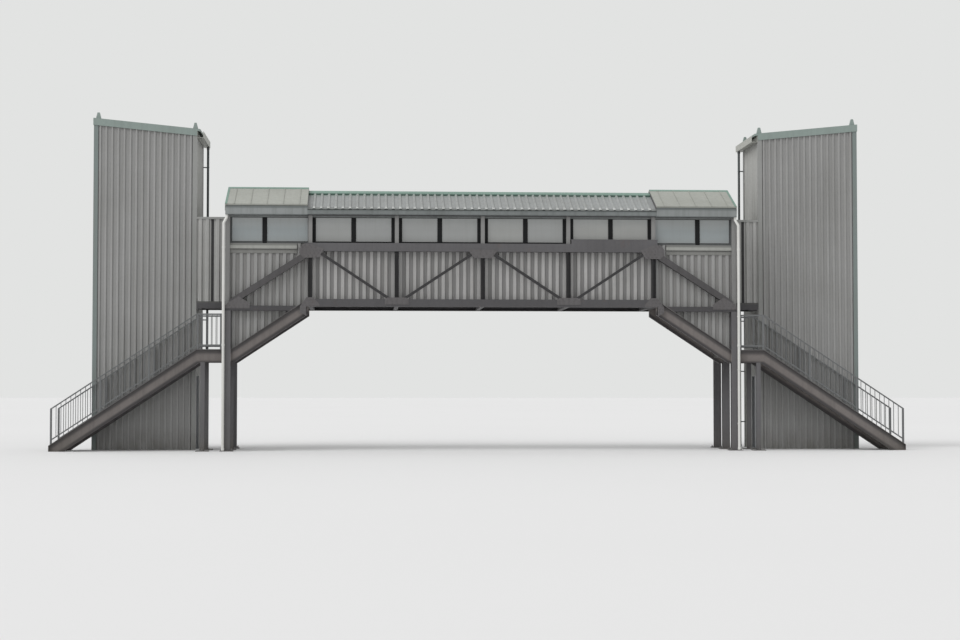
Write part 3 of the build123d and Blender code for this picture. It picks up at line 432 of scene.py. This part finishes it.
def pane_pattern(m):
    """Each pane a little lighter or darker than the next, and lighter towards the head, a painted
    light against the shade under the eaves.
    """
    cell = m.new("ShaderNodeTexWhiteNoise", noise_dimensions="1D")
    m.link(m.math("FLOOR", m.math("DIVIDE", m.x, bay / 2)), cell.inputs["W"])
    tone = m.mix(cell.outputs["Value"], colour(158, 160, 160), colour(166, 167, 164))
    tone = m.mix(beyond_truss(m), tone, colour(148, 155, 157))
    # Painted light: the panes lighten towards the head, against the shade under the eaves
    painted_light_top = m.ramp(m.z, head_z - 0.38, head_z - frame_rail, 0.0, 0.8)
    return m.mix(painted_light_top, tone, colour(182, 185, 184))


def frosted(name, dirt):
    """Frosted window sheet: pale and flat, with dust towards the bottom edge."""
    m = Nodes(name)
    blotches = m.ramp(m.noise((0.9, 0.9, 1.4), 3.0), 0.3, 0.75)
    streaks = m.ramp(m.noise((16.0, 16.0, 0.8)), 0.5, 0.8)
    dust = m.ramp(m.z, sill_z + frame_rail, sill_z + 0.25, 0.25, 0.0)
    tone = m.soiled(pane_pattern(m), dirt, (blotches, 0.22), (streaks, 0.2))
    m.link(m.mix(dust, tone, dirt), m.shader.inputs["Base Color"])
    m.shader.inputs["Roughness"].default_value = 0.35
    m.shader.inputs["Transmission Weight"].default_value = 0.1
    m.bump(m.noise((500.0, 500.0, 500.0), 2.0), 0.2, 0.0002)
    return m.material


def materials():
    """The finished materials: one for each slot of the record, and some close relations."""
    sheet_dirt = colour(112, 112, 108)
    # Colour, dirt, its shares in streaks and blotches, rust, roughness and, for some, metal
    plain = {
        "dark_steel": (colour(89, 88, 90), colour(64, 62, 63), 0.3, 0.4, 0.3, 0.6),
        "low_steel": (colour(77, 76, 78), colour(58, 56, 57), 0.3, 0.4, 0.3, 0.6),
        "tie_steel": (colour(66, 65, 67), colour(50, 48, 49), 0.3, 0.4, 0.3, 0.6),
        "gusset_steel": (colour(94, 92, 93), colour(76, 72, 71), 0.2, 0.35, 0.3, 0.6),
        "wall_post": (colour(132, 132, 131), colour(100, 99, 97), 0.35, 0.2, 0.0, 0.5),
        "nosing": (colour(160, 161, 155), colour(124, 123, 116), 0.1, 0.4, 0.0, 0.6),
        "end_roof": (colour(156, 158, 151), colour(127, 128, 121), 0.3, 0.35, 0.0, 0.5),
        "gutter": (colour(117, 122, 122), colour(84, 88, 86), 0.5, 0.35, 0.0, 0.5),
        "fascia": (colour(136, 140, 140), colour(104, 108, 106), 0.5, 0.35, 0.0, 0.5),
        "rail": (colour(104, 106, 107), colour(74, 74, 74), 0.2, 0.3, 0.15, 0.45),
        "lift_door": (colour(150, 152, 154), colour(120, 121, 122), 0.15, 0.15, 0.0, 0.35, 0.8),
        "white_pipe": (colour(214, 214, 211), colour(168, 167, 160), 0.3, 0.25, 0.0, 0.45),
        "gasket": (colour(46, 46, 48), colour(60, 58, 56), 0.2, 0.3, 0.0, 0.8),
        "dark_pipe": (colour(74, 79, 80), colour(60, 62, 61), 0.2, 0.3, 0.0, 0.5),
        "tower_trim": (colour(134, 147, 142), colour(112, 121, 117), 0.35, 0.25, 0.0, 0.5),
        "tower_gutter": (colour(164, 165, 159), colour(132, 132, 125), 0.35, 0.25, 0.0, 0.5),
        "plain_sheet": (colour(150, 150, 149), sheet_dirt, 0.45, 0.3, 0.0, 0.5),
        "link_roof": (colour(150, 151, 149), colour(120, 120, 115), 0.4, 0.3, 0.0, 0.5),
        "ridge_green": (colour(116, 144, 132), colour(92, 112, 103), 0.2, 0.3, 0.0, 0.5),
        # Closures and beads are darker, in part a painted shade at the ridge, in the ribs' ends
        # and along the gutters and fascias
        "closure": (colour(72, 96, 87), colour(62, 76, 70), 0.1, 0.3, 0.0, 0.7),
        "flashing": (colour(128, 128, 125), colour(104, 104, 100), 0.4, 0.3, 0.0, 0.5),
        "bead": (colour(106, 112, 111), colour(84, 89, 88), 0.3, 0.3, 0.0, 0.5),
        "zinc": (colour(126, 126, 126), colour(92, 86, 80), 0.1, 0.4, 0.35, 0.45, 0.6),
        "screw_head": (colour(138, 139, 138), colour(104, 102, 98), 0.1, 0.3, 0.2, 0.45, 0.3),
    }
    special = {
        "deck": ((colour(92, 92, 91), colour(70, 68, 66), 0.0, 0.5, 0.0, 0.85),
                 {"grain": 90.0, "grain_height": 0.002}),
        "tread": ((colour(98, 97, 95), colour(70, 67, 64), 0.1, 0.5, 0.2, 0.8),
                  {"grain": 110.0, "grain_height": 0.0015}),
        "column_steel": ((colour(97, 96, 98), colour(68, 66, 67), 0.35, 0.4, 0.3, 0.55),
                         {"foot": 0.6}),
        "window_frame": ((None, colour(20, 20, 20), 0.2, 0.2, 0.0, 0.6),
                         {"gloss": 0.15, "pattern": frame_pattern}),
    }
    patterned = {
        "wall_sheet": (wall_pattern, sheet_dirt),
        "truss_steel": (truss_pattern, colour(36, 35, 35)),
        "trim": (sill_pattern, sheet_dirt),
        "tower_sheet": (ribs(tower_depth, colour(151, 151, 150), colour(143, 143, 142)),
                        sheet_dirt),
        # The towers' inner walls lighter than the others, a painted light on the walls that face
        # the bridge
        "inner_sheet": (ribs(tower_depth, colour(171, 171, 168), colour(159, 159, 156)),
                        sheet_dirt),
        # Lighter, a painted light against the shade that the bridge's end casts on the link walls
        "link_sheet": (ribs(link_depth, colour(171, 171, 169), colour(163, 163, 161)),
                       sheet_dirt),
        "roof_sheet": (roof_pattern, sheet_dirt),
        "string_steel": (string_pattern, colour(72, 68, 67)),
        "corner_trim": (corner_trim_pattern, sheet_dirt),
    }
    made = {name: weathered(name, *row) for name, row in plain.items()}
    for name, (row, more) in special.items():
        made[name] = weathered(name, *row, **more)
    for name, (pattern, dirt) in patterned.items():
        made[name] = weathered(name, None, dirt, 0.32, 0.22, 0.0, 0.5, foot=0.5, pattern=pattern)
    made["window_pane"] = frosted("window_pane", colour(134, 135, 130))
    return made


def dress():
    """Gives every CAD node the finish of its slot, or a close relation of it."""
    relations = {
        "gable_ends": "plain_sheet",
        "stair_doorway_panels": "plain_sheet",
        "link_walls": "link_sheet",
        "link_roofs": "link_roof",
        "tower_inner_walls": "inner_sheet",
        "tower_corner_trims": "corner_trim",
        "tower_gutters": "tower_gutter",
        "ridge_capping": "ridge_green",
        "end_fascias": "fascia",
        "front_bottom_chord": "low_steel",
        "back_bottom_chord": "low_steel",
        "floor_beams": "low_steel",
        "link_beams": "low_steel",
        "end_ties": "tie_steel",
        "stair_strings": "string_steel",
        "trestle_columns": "column_steel",
        "landing_columns": "column_steel",
    }
    for part in frame["record"]["subparts"]:
        piece = nodes[part["node"]]
        finish = relations.get(part["node"], part["material_slot"])
        piece.data.materials.clear()
        piece.data.materials.append(finishes[finish])


# Detail pieces

# Profiles of turned forms: heights along the axis, and radii
screw_washer = [(0, 0.010), (0.002, 0.010), (0.0035, 0.0065)]
screw_head = [(0.0035, 0.0055), (0.009, 0.005)]
anchor_nut = [(0.005, 0.019), (0.022, 0.019), (0.024, 0.016)]
anchor_stud = [(0.022, 0.0105), (0.058, 0.0105), (0.060, 0.009)]


class Shape:
    """Gathers closed solids that become one piece."""

    def __init__(self):
        self.points = []
        self.faces = []

    def loft(self, rings, closed=False):
        """Skins a row of rings, flat at both ends or joined end to end."""
        base = len(self.points)
        size = len(rings[0])
        count = len(rings)
        for ring in rings:
            self.points.extend(tuple(point) for point in ring)
        for k in range(count if closed else count - 1):
            a = base + k * size
            b = base + (k + 1) % count * size
            for i in range(size):
                j = (i + 1) % size
                self.faces.append((a + i, a + j, b + j, b + i))
        if not closed:
            last = base + (count - 1) * size
            self.faces.append(tuple(reversed(range(base, base + size))))
            self.faces.append(tuple(range(last, last + size)))

    def slab(self, x, y, z):
        """A straight bar between two values on each axis."""
        self.loft([[(x[0], y[0], h), (x[1], y[0], h), (x[1], y[1], h), (x[0], y[1], h)]
                   for h in z])

    def border(self, x, y, z, width):
        """An upright rectangular ring of one width, with mitred corners."""
        rings = []
        for a, b in ((0, 0), (1, 0), (1, 1), (0, 1)):
            inner_x = x[a] + (width, -width)[a]
            inner_z = z[b] + (width, -width)[b]
            rings.append([(x[a], y[0], z[b]), (inner_x, y[0], inner_z),
                          (inner_x, y[1], inner_z), (x[a], y[1], z[b])])
        self.loft(rings, closed=True)

    def turned(self, at, normal, profile, sides, turn=0.0, closed=False):
        """A turned form, given by heights along the normal and radii."""
        n = Vector(normal).normalized()
        u = n.orthogonal().normalized()
        v = n.cross(u)
        rings = []
        for height, radius in profile:
            rings.append([
                Vector(at) + n * height
                + (u * math.cos(turn + math.tau * i / sides)
                   + v * math.sin(turn + math.tau * i / sides)) * radius
                for i in range(sides)
            ])
        self.loft(rings, closed)

    def hexagon(self, at, normal, profile):
        """A six-sided turned form, turned by chance as a wrench leaves it."""
        self.turned(at, normal, profile, 6, random.uniform(0, 1))

    def collar(self, at, inner, outer, height):
        """An upright ring round a pipe."""
        self.turned(at, (0, 0, 1), [(0, inner), (0, outer), (height, outer), (height, inner)],
                    20, closed=True)

    def bolt(self, at, normal, size):
        """A chamfered hexagon head on its washer, of about twice the size across."""
        washer, head, chamfered = 1.15 * size, 0.95 * size, 0.8 * size
        seat, shoulder, top = 0.14 * size, 0.66 * size, 0.76 * size
        self.turned(at, normal, [(0, washer), (seat, washer)], 14)
        self.hexagon(at, normal, [(seat, head), (shoulder, head), (top, chamfered)])

    def screw(self, at, normal):
        """A sheet fixing: a domed washer and a small hexagon head."""
        self.turned(at, normal, screw_washer, 8)
        self.hexagon(at, normal, screw_head)

    def piece(self, name, finish, slot):
        """Makes the piece, in one material, riding on the bridge."""
        mesh = bpy.data.meshes.new(name)
        mesh.from_pydata(self.points, [], self.faces)
        work = bmesh.new()
        work.from_mesh(mesh)
        bmesh.ops.recalc_face_normals(work, faces=work.faces)
        work.to_mesh(mesh)
        work.free()
        mesh.materials.append(finishes[finish])
        thing = bpy.data.objects.new(name, mesh)
        scene.collection.objects.link(thing)
        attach(thing, "root")


def between(first, last, count):
    """Evenly spaced values from the first to the last."""
    if count == 1:
        return [first]
    return [first + (last - first) * i / (count - 1) for i in range(count)]


def on_side(side, a, b):
    """Two distances from the bridge's long axis as y values, the lower first."""
    return sorted((axis_y + side * a, axis_y + side * b))


def on_end(end, a, b):
    """Two distances from the bridge's middle as x values, the lower first."""
    return sorted((end * a, end * b))


def front_chord():
    """The front top chord again, with its deep end on the right only, as in the photograph."""
    plain_top = chord_high.z - deep_rise
    merging = 0.00001
    mesh = nodes["front_top_chord"].data.copy()
    work = bmesh.new()
    work.from_mesh(mesh)
    for vertex in work.verts:
        if vertex.co.x < 0.0 and vertex.co.z > plain_top + 0.01:
            vertex.co.z -= deep_rise
    bmesh.ops.remove_doubles(work, verts=work.verts, dist=merging)
    bmesh.ops.dissolve_degenerate(work, edges=work.edges, dist=merging)
    bmesh.ops.recalc_face_normals(work, faces=work.faces)
    work.to_mesh(mesh)
    work.free()
    mesh.name = "front_chord"
    mesh.materials.clear()
    mesh.materials.append(finishes["dark_steel"])
    chord = bpy.data.objects.new("front_chord", mesh)
    scene.collection.objects.link(chord)
    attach(chord, "root")
    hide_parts("front_top_chord")


def left_post_foot():
    """Brings the post over the chord's left end down to it, on a bolted foot plate."""
    foot = Shape()
    front, back = axis_y - truss_offset, axis_y - crest_face
    plate_base = chord_high.z - deep_rise
    plate_top = plate_base + 0.008
    toe = 0.02
    ear = 0.025
    foot.slab((-chord_end - post_half - ear, -chord_end + post_half + ear), (front - toe, back),
              (plate_base, plate_top))
    foot.slab((-chord_end - post_half, -chord_end + post_half), (front, back),
              (plate_top, chord_high.z))
    for x in (-chord_end - post_half - ear / 2, -chord_end + post_half + ear / 2):
        foot.bolt((x, (front + back) / 2, plate_top), (0, 0, 1), 0.009)
    foot.piece("left_post_foot", "wall_post", "wall_post")


# Rows of bolts on the gusset plates: first x, last x, height, count
centre_rows = [(-0.33, 0.33, 5.57, 6), (-0.27, 0.27, 5.49, 4), (-0.18, 0.18, 5.41, 3)]
low_rows = [(2.13, 2.67, 4.10, 5), (2.13, 2.67, 4.17, 5), (2.22, 2.58, 4.226, 3)]
corner_rows = [(4.53, 5.02, 5.57, 6), (4.66, 5.02, 5.65, 4), (4.83, 4.95, 5.71, 2),
               (4.58, 5.04, 5.49, 5), (4.64, 4.98, 5.41, 4)]
foot_rows = [(6.53, 7.08, 3.975, 6), (6.53, 7.02, 4.05, 5), (6.61, 6.93, 4.13, 4),
             (6.71, 6.82, 4.21, 2)]
stair_rows = [(4.60, 5.01, 4.04, 5), (4.65, 4.95, 4.12, 4), (4.72, 4.88, 4.20, 3),
              (4.94, 5.03, 3.96, 2), (4.94, 5.03, 3.88, 2), (4.95, 4.95, 3.81, 1)]


def gusset_bolts():
    """Bolt heads on every gusset plate. The stairs' plates are on the front only."""
    for side, name in ((-1, "front"), (1, "back")):
        bolts = Shape()
        rows = low_rows + corner_rows + foot_rows + (stair_rows if side < 0 else [])
        spots = [(x, z) for a, b, z, n in centre_rows for x in between(a, b, n)]
        for a, b, z, n in rows:
            for x in between(a, b, n):
                spots += [(x, z), (-x, z)]
        for x, z in spots:
            bolts.bolt((x, axis_y + side * gusset_face, z), (0, side, 0), bolt_size)
        bolts.piece(f"{name}_gusset_bolts", "gusset_steel", "gusset_steel")


def anchor_bolts():
    """Studs with nuts and square washers on the base plates."""
    anchors = Shape()
    washer_half, washer_thickness = 0.03, 0.005
    reach = anchor_spacing / 2
    # The columns' places, and where their pairs of anchors are along the bridge
    columns = [(trestle_x, y, (-reach, reach)) for y in (-1.3, -0.01, 1.3)]
    columns += [(landing_column_x, y, (0.0,)) for y in (-1.345, -0.055)]
    for column_x, column_y, offsets in columns:
        for end in (-1, 1):
            for dx in offsets:
                for dy in (-reach, reach):
                    x, y = end * (column_x + dx), axis_y + column_y + dy
                    anchors.slab((x - washer_half, x + washer_half),
                                 (y - washer_half, y + washer_half),
                                 (base_plate, base_plate + washer_thickness))
                    anchors.hexagon((x, y, base_plate), (0, 0, 1), anchor_nut)
                    anchors.turned((x, y, base_plate), (0, 0, 1), anchor_stud, 12)
    anchors.piece("anchor_bolts", "zinc", "dark_steel")


def sheet_screws():
    """Fixings in every other pan of the wall sheets, and lower down beside the stairs."""
    heights = (4.32, 4.9, 5.45)
    stair_height = 3.7
    stair_sheet_x = 6.0
    sheet_margin = 0.01125
    screws = Shape()
    for i in range(-17, 18):
        x = i * 2 * rib_pitch
        for z in heights:
            screws.screw((x, axis_y + pan_face, z), (0, 1, 0))
            if abs(x) < chord_end:
                screws.screw((x, axis_y - pan_face, z), (0, -1, 0))
    for i in range(1, 11, 2):
        x = corner_x - sheet_margin - i * rib_pitch
        for z in heights + ((stair_height,) if x > stair_sheet_x else ()):
            for end in (-1, 1):
                screws.screw((end * x, axis_y - pan_face, z), (0, -1, 0))
    screws.piece("wall_sheet_screws", "screw_head", "wall_sheet")


def on_roof(side, s, h, lift=0.0):
    """The y and z of a point at a distance down a slope and a height square to it."""
    out = s * math.cos(roof_angle) + h * math.sin(roof_angle)
    up = h * math.cos(roof_angle) - s * math.sin(roof_angle)
    return axis_y + side * out, ridge_z + lift + up


def plug(shape, x, side, foot, top, s):
    """A block under or between ribs: half width and height at its foot and top, and its run."""
    section = ((-foot[0], foot[1]), foot, top, (-top[0], top[1]))
    shape.loft([[(x + a, *on_roof(side, down, h)) for a, h in section] for down in s])


def roof_details():
    """Fixings on the ribs, dark fillers in the ribs' ends and dark closures along the ridge, both
    partly real and partly a painted shade.
    """
    screws = Shape()
    fillers = Shape()
    closures = Shape()
    rib_count = round(2 * chord_end / rib_pitch)
    filler_foot, filler_top = (0.040, sheet_base + 0.002), (0.020, sheet_crest - 0.005)
    closure_foot, closure_top = (0.048, sheet_base), (0.074, sheet_crest - 0.001)
    for side in (-1, 1):
        normal = (0, side * math.sin(roof_angle), math.cos(roof_angle))
        for i in range(rib_count):
            x = -chord_end + rib_pitch * (i + 0.5)
            for s in (0.36, 0.86, 1.38):
                screws.screw((x, *on_roof(side, s, sheet_crest)), normal)
            # Dark fillers in the ribs' ends, partly a painted shade in the ribs' hollows
            plug(fillers, x, side, filler_foot, filler_top, (roof_run, roof_run + 0.002))
        for i in range(rib_count + 1):
            x = -chord_end + rib_pitch * i
            # Dark closures in the pans below the capping, partly a painted shadow under its edge
            plug(closures, x, side, closure_foot, closure_top, (0.15, 0.25))
    screws.piece("roof_screws", "screw_head", "roof_sheet")
    fillers.piece("roof_fillers", "bead", "dark_pipe")
    closures.piece("ridge_closures", "closure", "dark_pipe")


def across_end_roof(shape, x0, x1, side, s, h):
    """A bar along x between two distances down an end roof's slope and two heights off it."""
    corners = ((s[0], h[0]), (s[1], h[0]), (s[1], h[1]), (s[0], h[1]))
    shape.loft([[(x, *on_roof(side, a, b, end_roof_lift)) for a, b in corners]
                for x in (x0, x1)])


def end_roof_details():
    """Standing seams on the raised end roofs, and trims along their ridge and outer edge."""
    seams = Shape()
    trims = Shape()
    seam_half = 0.006
    seam_count, seam_start, seam_pitch = 5, 5.1, 0.45
    seam_height = (end_roof_thickness, end_roof_thickness + 0.015)
    trim_height = (end_roof_thickness + 0.0002, end_roof_thickness + 0.006)
    ridge_width, edge_width = 0.13, 0.06
    under_ridge = 0.12
    overhang = 0.015
    for side in (-1, 1):
        for end in (-1, 1):
            for i in range(seam_count):
                x = end * (seam_start + seam_pitch * i)
                across_end_roof(seams, x - seam_half, x + seam_half, side,
                                (under_ridge, roof_run - 0.01), seam_height)
            outer = end * (enclosure_x + overhang)
            across_end_roof(trims, end * end_roof_start, outer, side, (0.0, ridge_width),
                            trim_height)
            across_end_roof(trims, outer - end * edge_width, outer, side,
                            (under_ridge, roof_run), trim_height)
    seams.piece("end_roof_seams", "end_roof", "end_roof")
    trims.piece("end_roof_trims", "ridge_green", "roof_sheet")


def pane_spans():
    """Where each pane starts and ends along the bridge."""
    spans = []
    for i in range(-2, 2):
        start, stop, middle = i * bay, (i + 1) * bay, (i + 0.5) * bay
        edge = frame_gap + frame_jamb
        spans += [(start + edge, middle - mullion_half), (middle + mullion_half, stop - edge)]
    for a, b in ((first_end_pane, end_mullion_x - mullion_half),
                 (end_mullion_x + mullion_half, corner_x - end_frame_jamb)):
        spans += [(a, b), (-b, -a)]
    return spans


def window_details():
    """A rubber gasket round every pane, and a folded drip under every middle frame."""
    gaskets = Shape()
    drips = Shape()
    gasket_width = 0.012
    pane_height = (sill_z + frame_rail, head_z - frame_rail)
    drip_height = (sill_z + 0.004, sill_z + 0.016)
    for side in (-1, 1):
        for x in pane_spans():
            gaskets.border(x, on_side(side, crest_face - 0.026, crest_face - 0.017),
                           pane_height, gasket_width)
        for i in range(-2, 2):
            x = (i * bay + post_half + frame_gap, (i + 1) * bay - post_half - frame_gap)
            drips.slab(x, on_side(side, crest_face, crest_face + 0.018), drip_height)
    gaskets.piece("window_gaskets", "gasket", "gasket")
    drips.piece("window_drips", "window_frame", "window_frame")


def end_flashings():
    """Under each end sill: a smooth flashing band below a dark strip, a painted shadow under the
    sill.
    """
    bands = Shape()
    shadow_strips = Shape()
    shadow_strip_base = end_sill_base - 0.012
    band_base = end_sill_base - 0.12
    lip = (band_base - 0.006, band_base + 0.001)
    for side in (-1, 1):
        for end in (-1, 1):
            x = on_end(end, end_sill_start, corner_x)
            bands.slab(x, on_side(side, crest_face, crest_face + 0.002), (band_base, shadow_strip_base))
            bands.slab(x, on_side(side, crest_face, crest_face + 0.01), lip)
            # A dark strip that paints the shadow under the sill
            shadow_strips.slab(x, on_side(side, crest_face, crest_face + 0.03), (shadow_strip_base, end_sill_base))
    bands.piece("end_flashings", "flashing", "wall_sheet")
    shadow_strips.piece("end_sill_shadow_strips", "gasket", "gasket")


def gutter_details():
    """Straps and beads on the gutters, and beads on the end fascias. The darker beads are partly
    real lips and partly a painted shadow line under the roof's edge and along the bottom edges.
    """
    straps = Shape()
    beads = Shape()
    base, top = gutters_low.z, gutters_high.z
    strap_pitch = 0.8
    joint_half, strap_half = 0.04, 0.0125
    gutter_x = (-end_roof_start, end_roof_start)
    for side in (-1, 1):
        def out(a, b):
            return on_side(side, gutter_face + a, gutter_face + b)
        for i in range(-5, 6):
            half = joint_half if i % 3 == 0 else strap_half
            x = (i * strap_pitch - half, i * strap_pitch + half)
            straps.slab(x, out(0.0, 0.003), (base - 0.003, top))
            straps.slab(x, out(-0.11, 0.002), (base - 0.0025, base + 0.001))
        # Top and bottom beads: painted shadow lines under the roof's edge and under the gutter
        beads.slab(gutter_x, out(0.0, 0.005), (top - 0.018, top))
        beads.slab(gutter_x, out(0.0, 0.004), (base, base + 0.012))
        for end in (-1, 1):
            x = on_end(end, end_roof_start, enclosure_x)
            # The same painted shadow lines on the end fascias
            beads.slab(x, out(0.0, 0.006), (fascias_high.z - 0.05, fascias_high.z))
            beads.slab(x, out(0.0, 0.004), (fascias_low.z, fascias_low.z + 0.014))
    straps.piece("gutter_straps", "gutter", "gutter")
    beads.piece("gutter_beads", "bead", "dark_pipe")


def tower_screws():
    """Fixings in every other pan on all four sides of both towers."""
    screws = Shape()
    heights = (0.35, 1.85, 3.35, 4.85, 6.35, 7.85)
    link_height = (floor_z - 0.1, head_z + 0.08)
    first_x = tower_inner + rib_depth + 0.06
    first_y = tower_front + tower_wall + 0.015
    for end in (-1, 1):
        for i in range(0, 18, 2):
            x = end * (first_x + i * tower_rib_pitch)
            for z in heights:
                screws.screw((x, tower_front + rib_depth, z), (0, -1, 0))
                screws.screw((x, tower_back - rib_depth, z), (0, 1, 0))
        for i in range(0, 12, 2):
            y = first_y + i * tower_rib_pitch
            for z in heights:
                screws.screw((end * (tower_outer - rib_depth), y, z), (end, 0, 0))
                by_door = lift_low.y - 0.02 < y < lift_high.y + 0.02
                at_door = any(sill - 0.05 < z < sill + door_height + 0.05
                              for sill in (0.0, floor_z))
                in_link = link_height[0] < z < link_height[1] and y < link_back
                if not (by_door and at_door) and not in_link:
                    screws.screw((end * (tower_inner + rib_depth), y, z), (-end, 0, 0))
    screws.piece("tower_screws", "screw_head", "tower_sheet")


def tower_roof_seams():
    """Standing seams down the slope of both tower roofs."""
    seams = Shape()
    foot_half, top_half, height = 0.009, 0.0054, 0.026
    edge = 0.21
    for end in (-1, 1):
        for y in between(tower_front + edge, tower_back - edge, 5):
            rings = []
            for x in (tower_inner - 0.015, tower_outer + 0.005):
                top = tower_eaves + tower_slope * (x - tower_inner) + tower_roof_thickness
                rings.append([(end * x, y - foot_half, top), (end * x, y + foot_half, top),
                              (end * x, y + top_half, top + height),
                              (end * x, y - top_half, top + height)])
            seams.loft(rings)
    seams.piece("tower_roof_seams", "tower_trim", "tower_trim")


def lift_details():
    """Linings and grooved thresholds of the lift doorways."""
    linings = Shape()
    y0, y1 = lift_low.y, lift_high.y
    thick = 0.008
    threshold = 0.012
    lap = 0.001
    for end in (-1, 1):
        x = on_end(end, tower_inner + 0.001, tower_inner + 0.0595)
        for sill in (0.0, floor_z):
            top = sill + door_height
            linings.slab(x, (y0, y0 + thick), (sill + threshold, top))
            linings.slab(x, (y1 - thick, y1), (sill + threshold, top))
            linings.slab((x[0] + lap / 2, x[1] - lap / 2), (y0 + thick - lap, y1 - thick + lap),
                         (top - thick, top - lap / 2))
            for k in range(4):
                a = x[0] + 0.002 + k * 0.015
                linings.slab((a, a + 0.010), (y0, y1), (sill, sill + threshold))
    linings.piece("lift_linings", "lift_door", "lift_door")


def stair_nosings():
    """A gripping strip on the edge of every tread and landing."""
    strips = Shape()
    edge = 0.012
    string_y = axis_y - truss_offset
    y = (string_y + edge, string_y + stair_width - edge)
    overhang = 0.02
    thick = 0.003
    lip_height = 0.03
    strip_pitch, strip_width, strips_start = 0.017, 0.012, 0.048
    edges = []
    for head, level, count in ((stair_head, floor_z, upper_treads),
                               (landing_end, landing_z, lower_treads)):
        edges += [(head + going * (i + 1) + overhang, level - riser * (i + 1))
                  for i in range(count)]
    edges += [(landing_end, landing_z)]
    for x, z in edges:
        for end in (-1, 1):
            for k in range(3):
                a = x - strips_start + k * strip_pitch
                strips.slab(on_end(end, a, a + strip_width), y, (z, z + thick))
            strips.slab(on_end(end, x, x + thick), y, (z - lip_height, z + thick))
    strips.piece("stair_nosings", "nosing", "trim")


def pipe_collars(name, finish, at, radius, sockets, bands):
    """Sockets along a pipe at either end of the bridge, and bands at its clips."""
    collars = Shape()
    for end in (-1, 1):
        for z in sockets:
            collars.collar((end * at[0], at[1], z), radius, radius + 0.0075, 0.06)
        for z in bands:
            collars.collar((end * at[0], at[1], z), radius, radius + 0.004, 0.03)
    collars.piece(name, finish, finish)


def downpipe_details():
    """Collars on the white pipes at the bridge's corners and the dark ones at the towers."""
    first_clip, clip_spacing = 0.735, 1.5
    pipe_collars("corner_pipe_collars", "white_pipe",
                 (enclosure_x + 0.038, axis_y - chord_face - 0.053), 0.0375,
                 (0.03, 2.9, 5.6), [first_clip + clip_spacing * i for i in range(3)])
    pipe_collars("tower_pipe_collars", "dark_pipe",
                 (tower_inner - 0.139, tower_back - 0.06), 0.0345,
                 (0.02, 2.9, 5.9, 8.78), [first_clip + clip_spacing * i for i in range(6)])


# Camera, light and floor

def camera():
    """Looks at the middle of the bridge from the trackside, nearly level."""
    data = bpy.data.cameras.new("camera")
    data.lens = camera_lens
    data.sensor_width = 36.0
    data.clip_end = 500.0
    cam = bpy.data.objects.new("camera", data)
    scene.collection.objects.link(cam)
    cam.location = (camera_x, axis_y - camera_distance, camera_height)
    aim = Vector((-camera_x, camera_distance, camera_distance * math.tan(camera_pitch)))
    cam.rotation_euler = aim.to_track_quat("-Z", "Y").to_euler()
    bpy.context.scene.camera = cam


def shown_directly(tree):
    """One for rays from the camera, a reflection or a clear pane, and zero for others."""
    rays = tree.nodes.new("ShaderNodeLightPath").outputs
    value = rays["Is Camera Ray"]
    for name in ("Is Glossy Ray", "Is Transmission Ray"):
        larger = tree.nodes.new("ShaderNodeMath")
        larger.operation = "MAXIMUM"
        tree.links.new(value, larger.inputs[0])
        tree.links.new(rays[name], larger.inputs[1])
        value = larger.outputs[0]
    return value


def world():
    """A white sky that lights the object evenly, with a pale backdrop."""
    sky = bpy.data.worlds.new("sky")
    sky.use_nodes = True
    tree = sky.node_tree
    light = tree.nodes["Background"]
    light.inputs["Color"].default_value = (1.0, 1.0, 1.0, 1.0)
    light.inputs["Strength"].default_value = sky_strength
    shown = tree.nodes.new("ShaderNodeBackground")
    shown.inputs["Color"].default_value = colour(*sky_shown)
    shown.inputs["Strength"].default_value = 1.0
    choice = tree.nodes.new("ShaderNodeMixShader")
    tree.links.new(shown_directly(tree), choice.inputs[0])
    tree.links.new(light.outputs[0], choice.inputs[1])
    tree.links.new(shown.outputs[0], choice.inputs[2])
    tree.links.new(choice.outputs[0], tree.nodes["World Output"].inputs["Surface"])
    scene.world = sky


def sun():
    """A broad weak sun, high and from the viewer's left."""
    data = bpy.data.lights.new("sun", "SUN")
    data.energy = sun_strength
    data.angle = sun_spread
    lamp = bpy.data.objects.new("sun", data)
    lamp.rotation_euler = (sun_tilt, 0.0, sun_turn)
    scene.collection.objects.link(lamp)


def floor():
    """A pale floor at platform level."""
    below = 0.001
    bpy.ops.mesh.primitive_plane_add(size=floor_size, location=(0.0, 0.0, cad_low.z - below))
    ground = bpy.context.object
    ground.name = "floor"
    m = Nodes("floor")
    light, dark = (floor_grey,) * 3 + (1.0,), (floor_grey * 0.96,) * 3 + (1.0,)
    tone = m.mix(m.noise((0.05, 0.05, 0.05), 3.0), light, dark)
    m.link(tone, m.shader.inputs["Base Color"])
    m.shader.inputs["Roughness"].default_value = 0.9
    ground.data.materials.append(m.material)


finishes = materials()
camera()
world()
sun()
floor()
dress()
front_chord()
left_post_foot()
gusset_bolts()
anchor_bolts()
sheet_screws()
roof_details()
end_roof_details()
window_details()
end_flashings()
gutter_details()
tower_screws()
tower_roof_seams()
lift_details()
stair_nosings()
downpipe_details()

scene.view_settings.view_transform = "Standard"
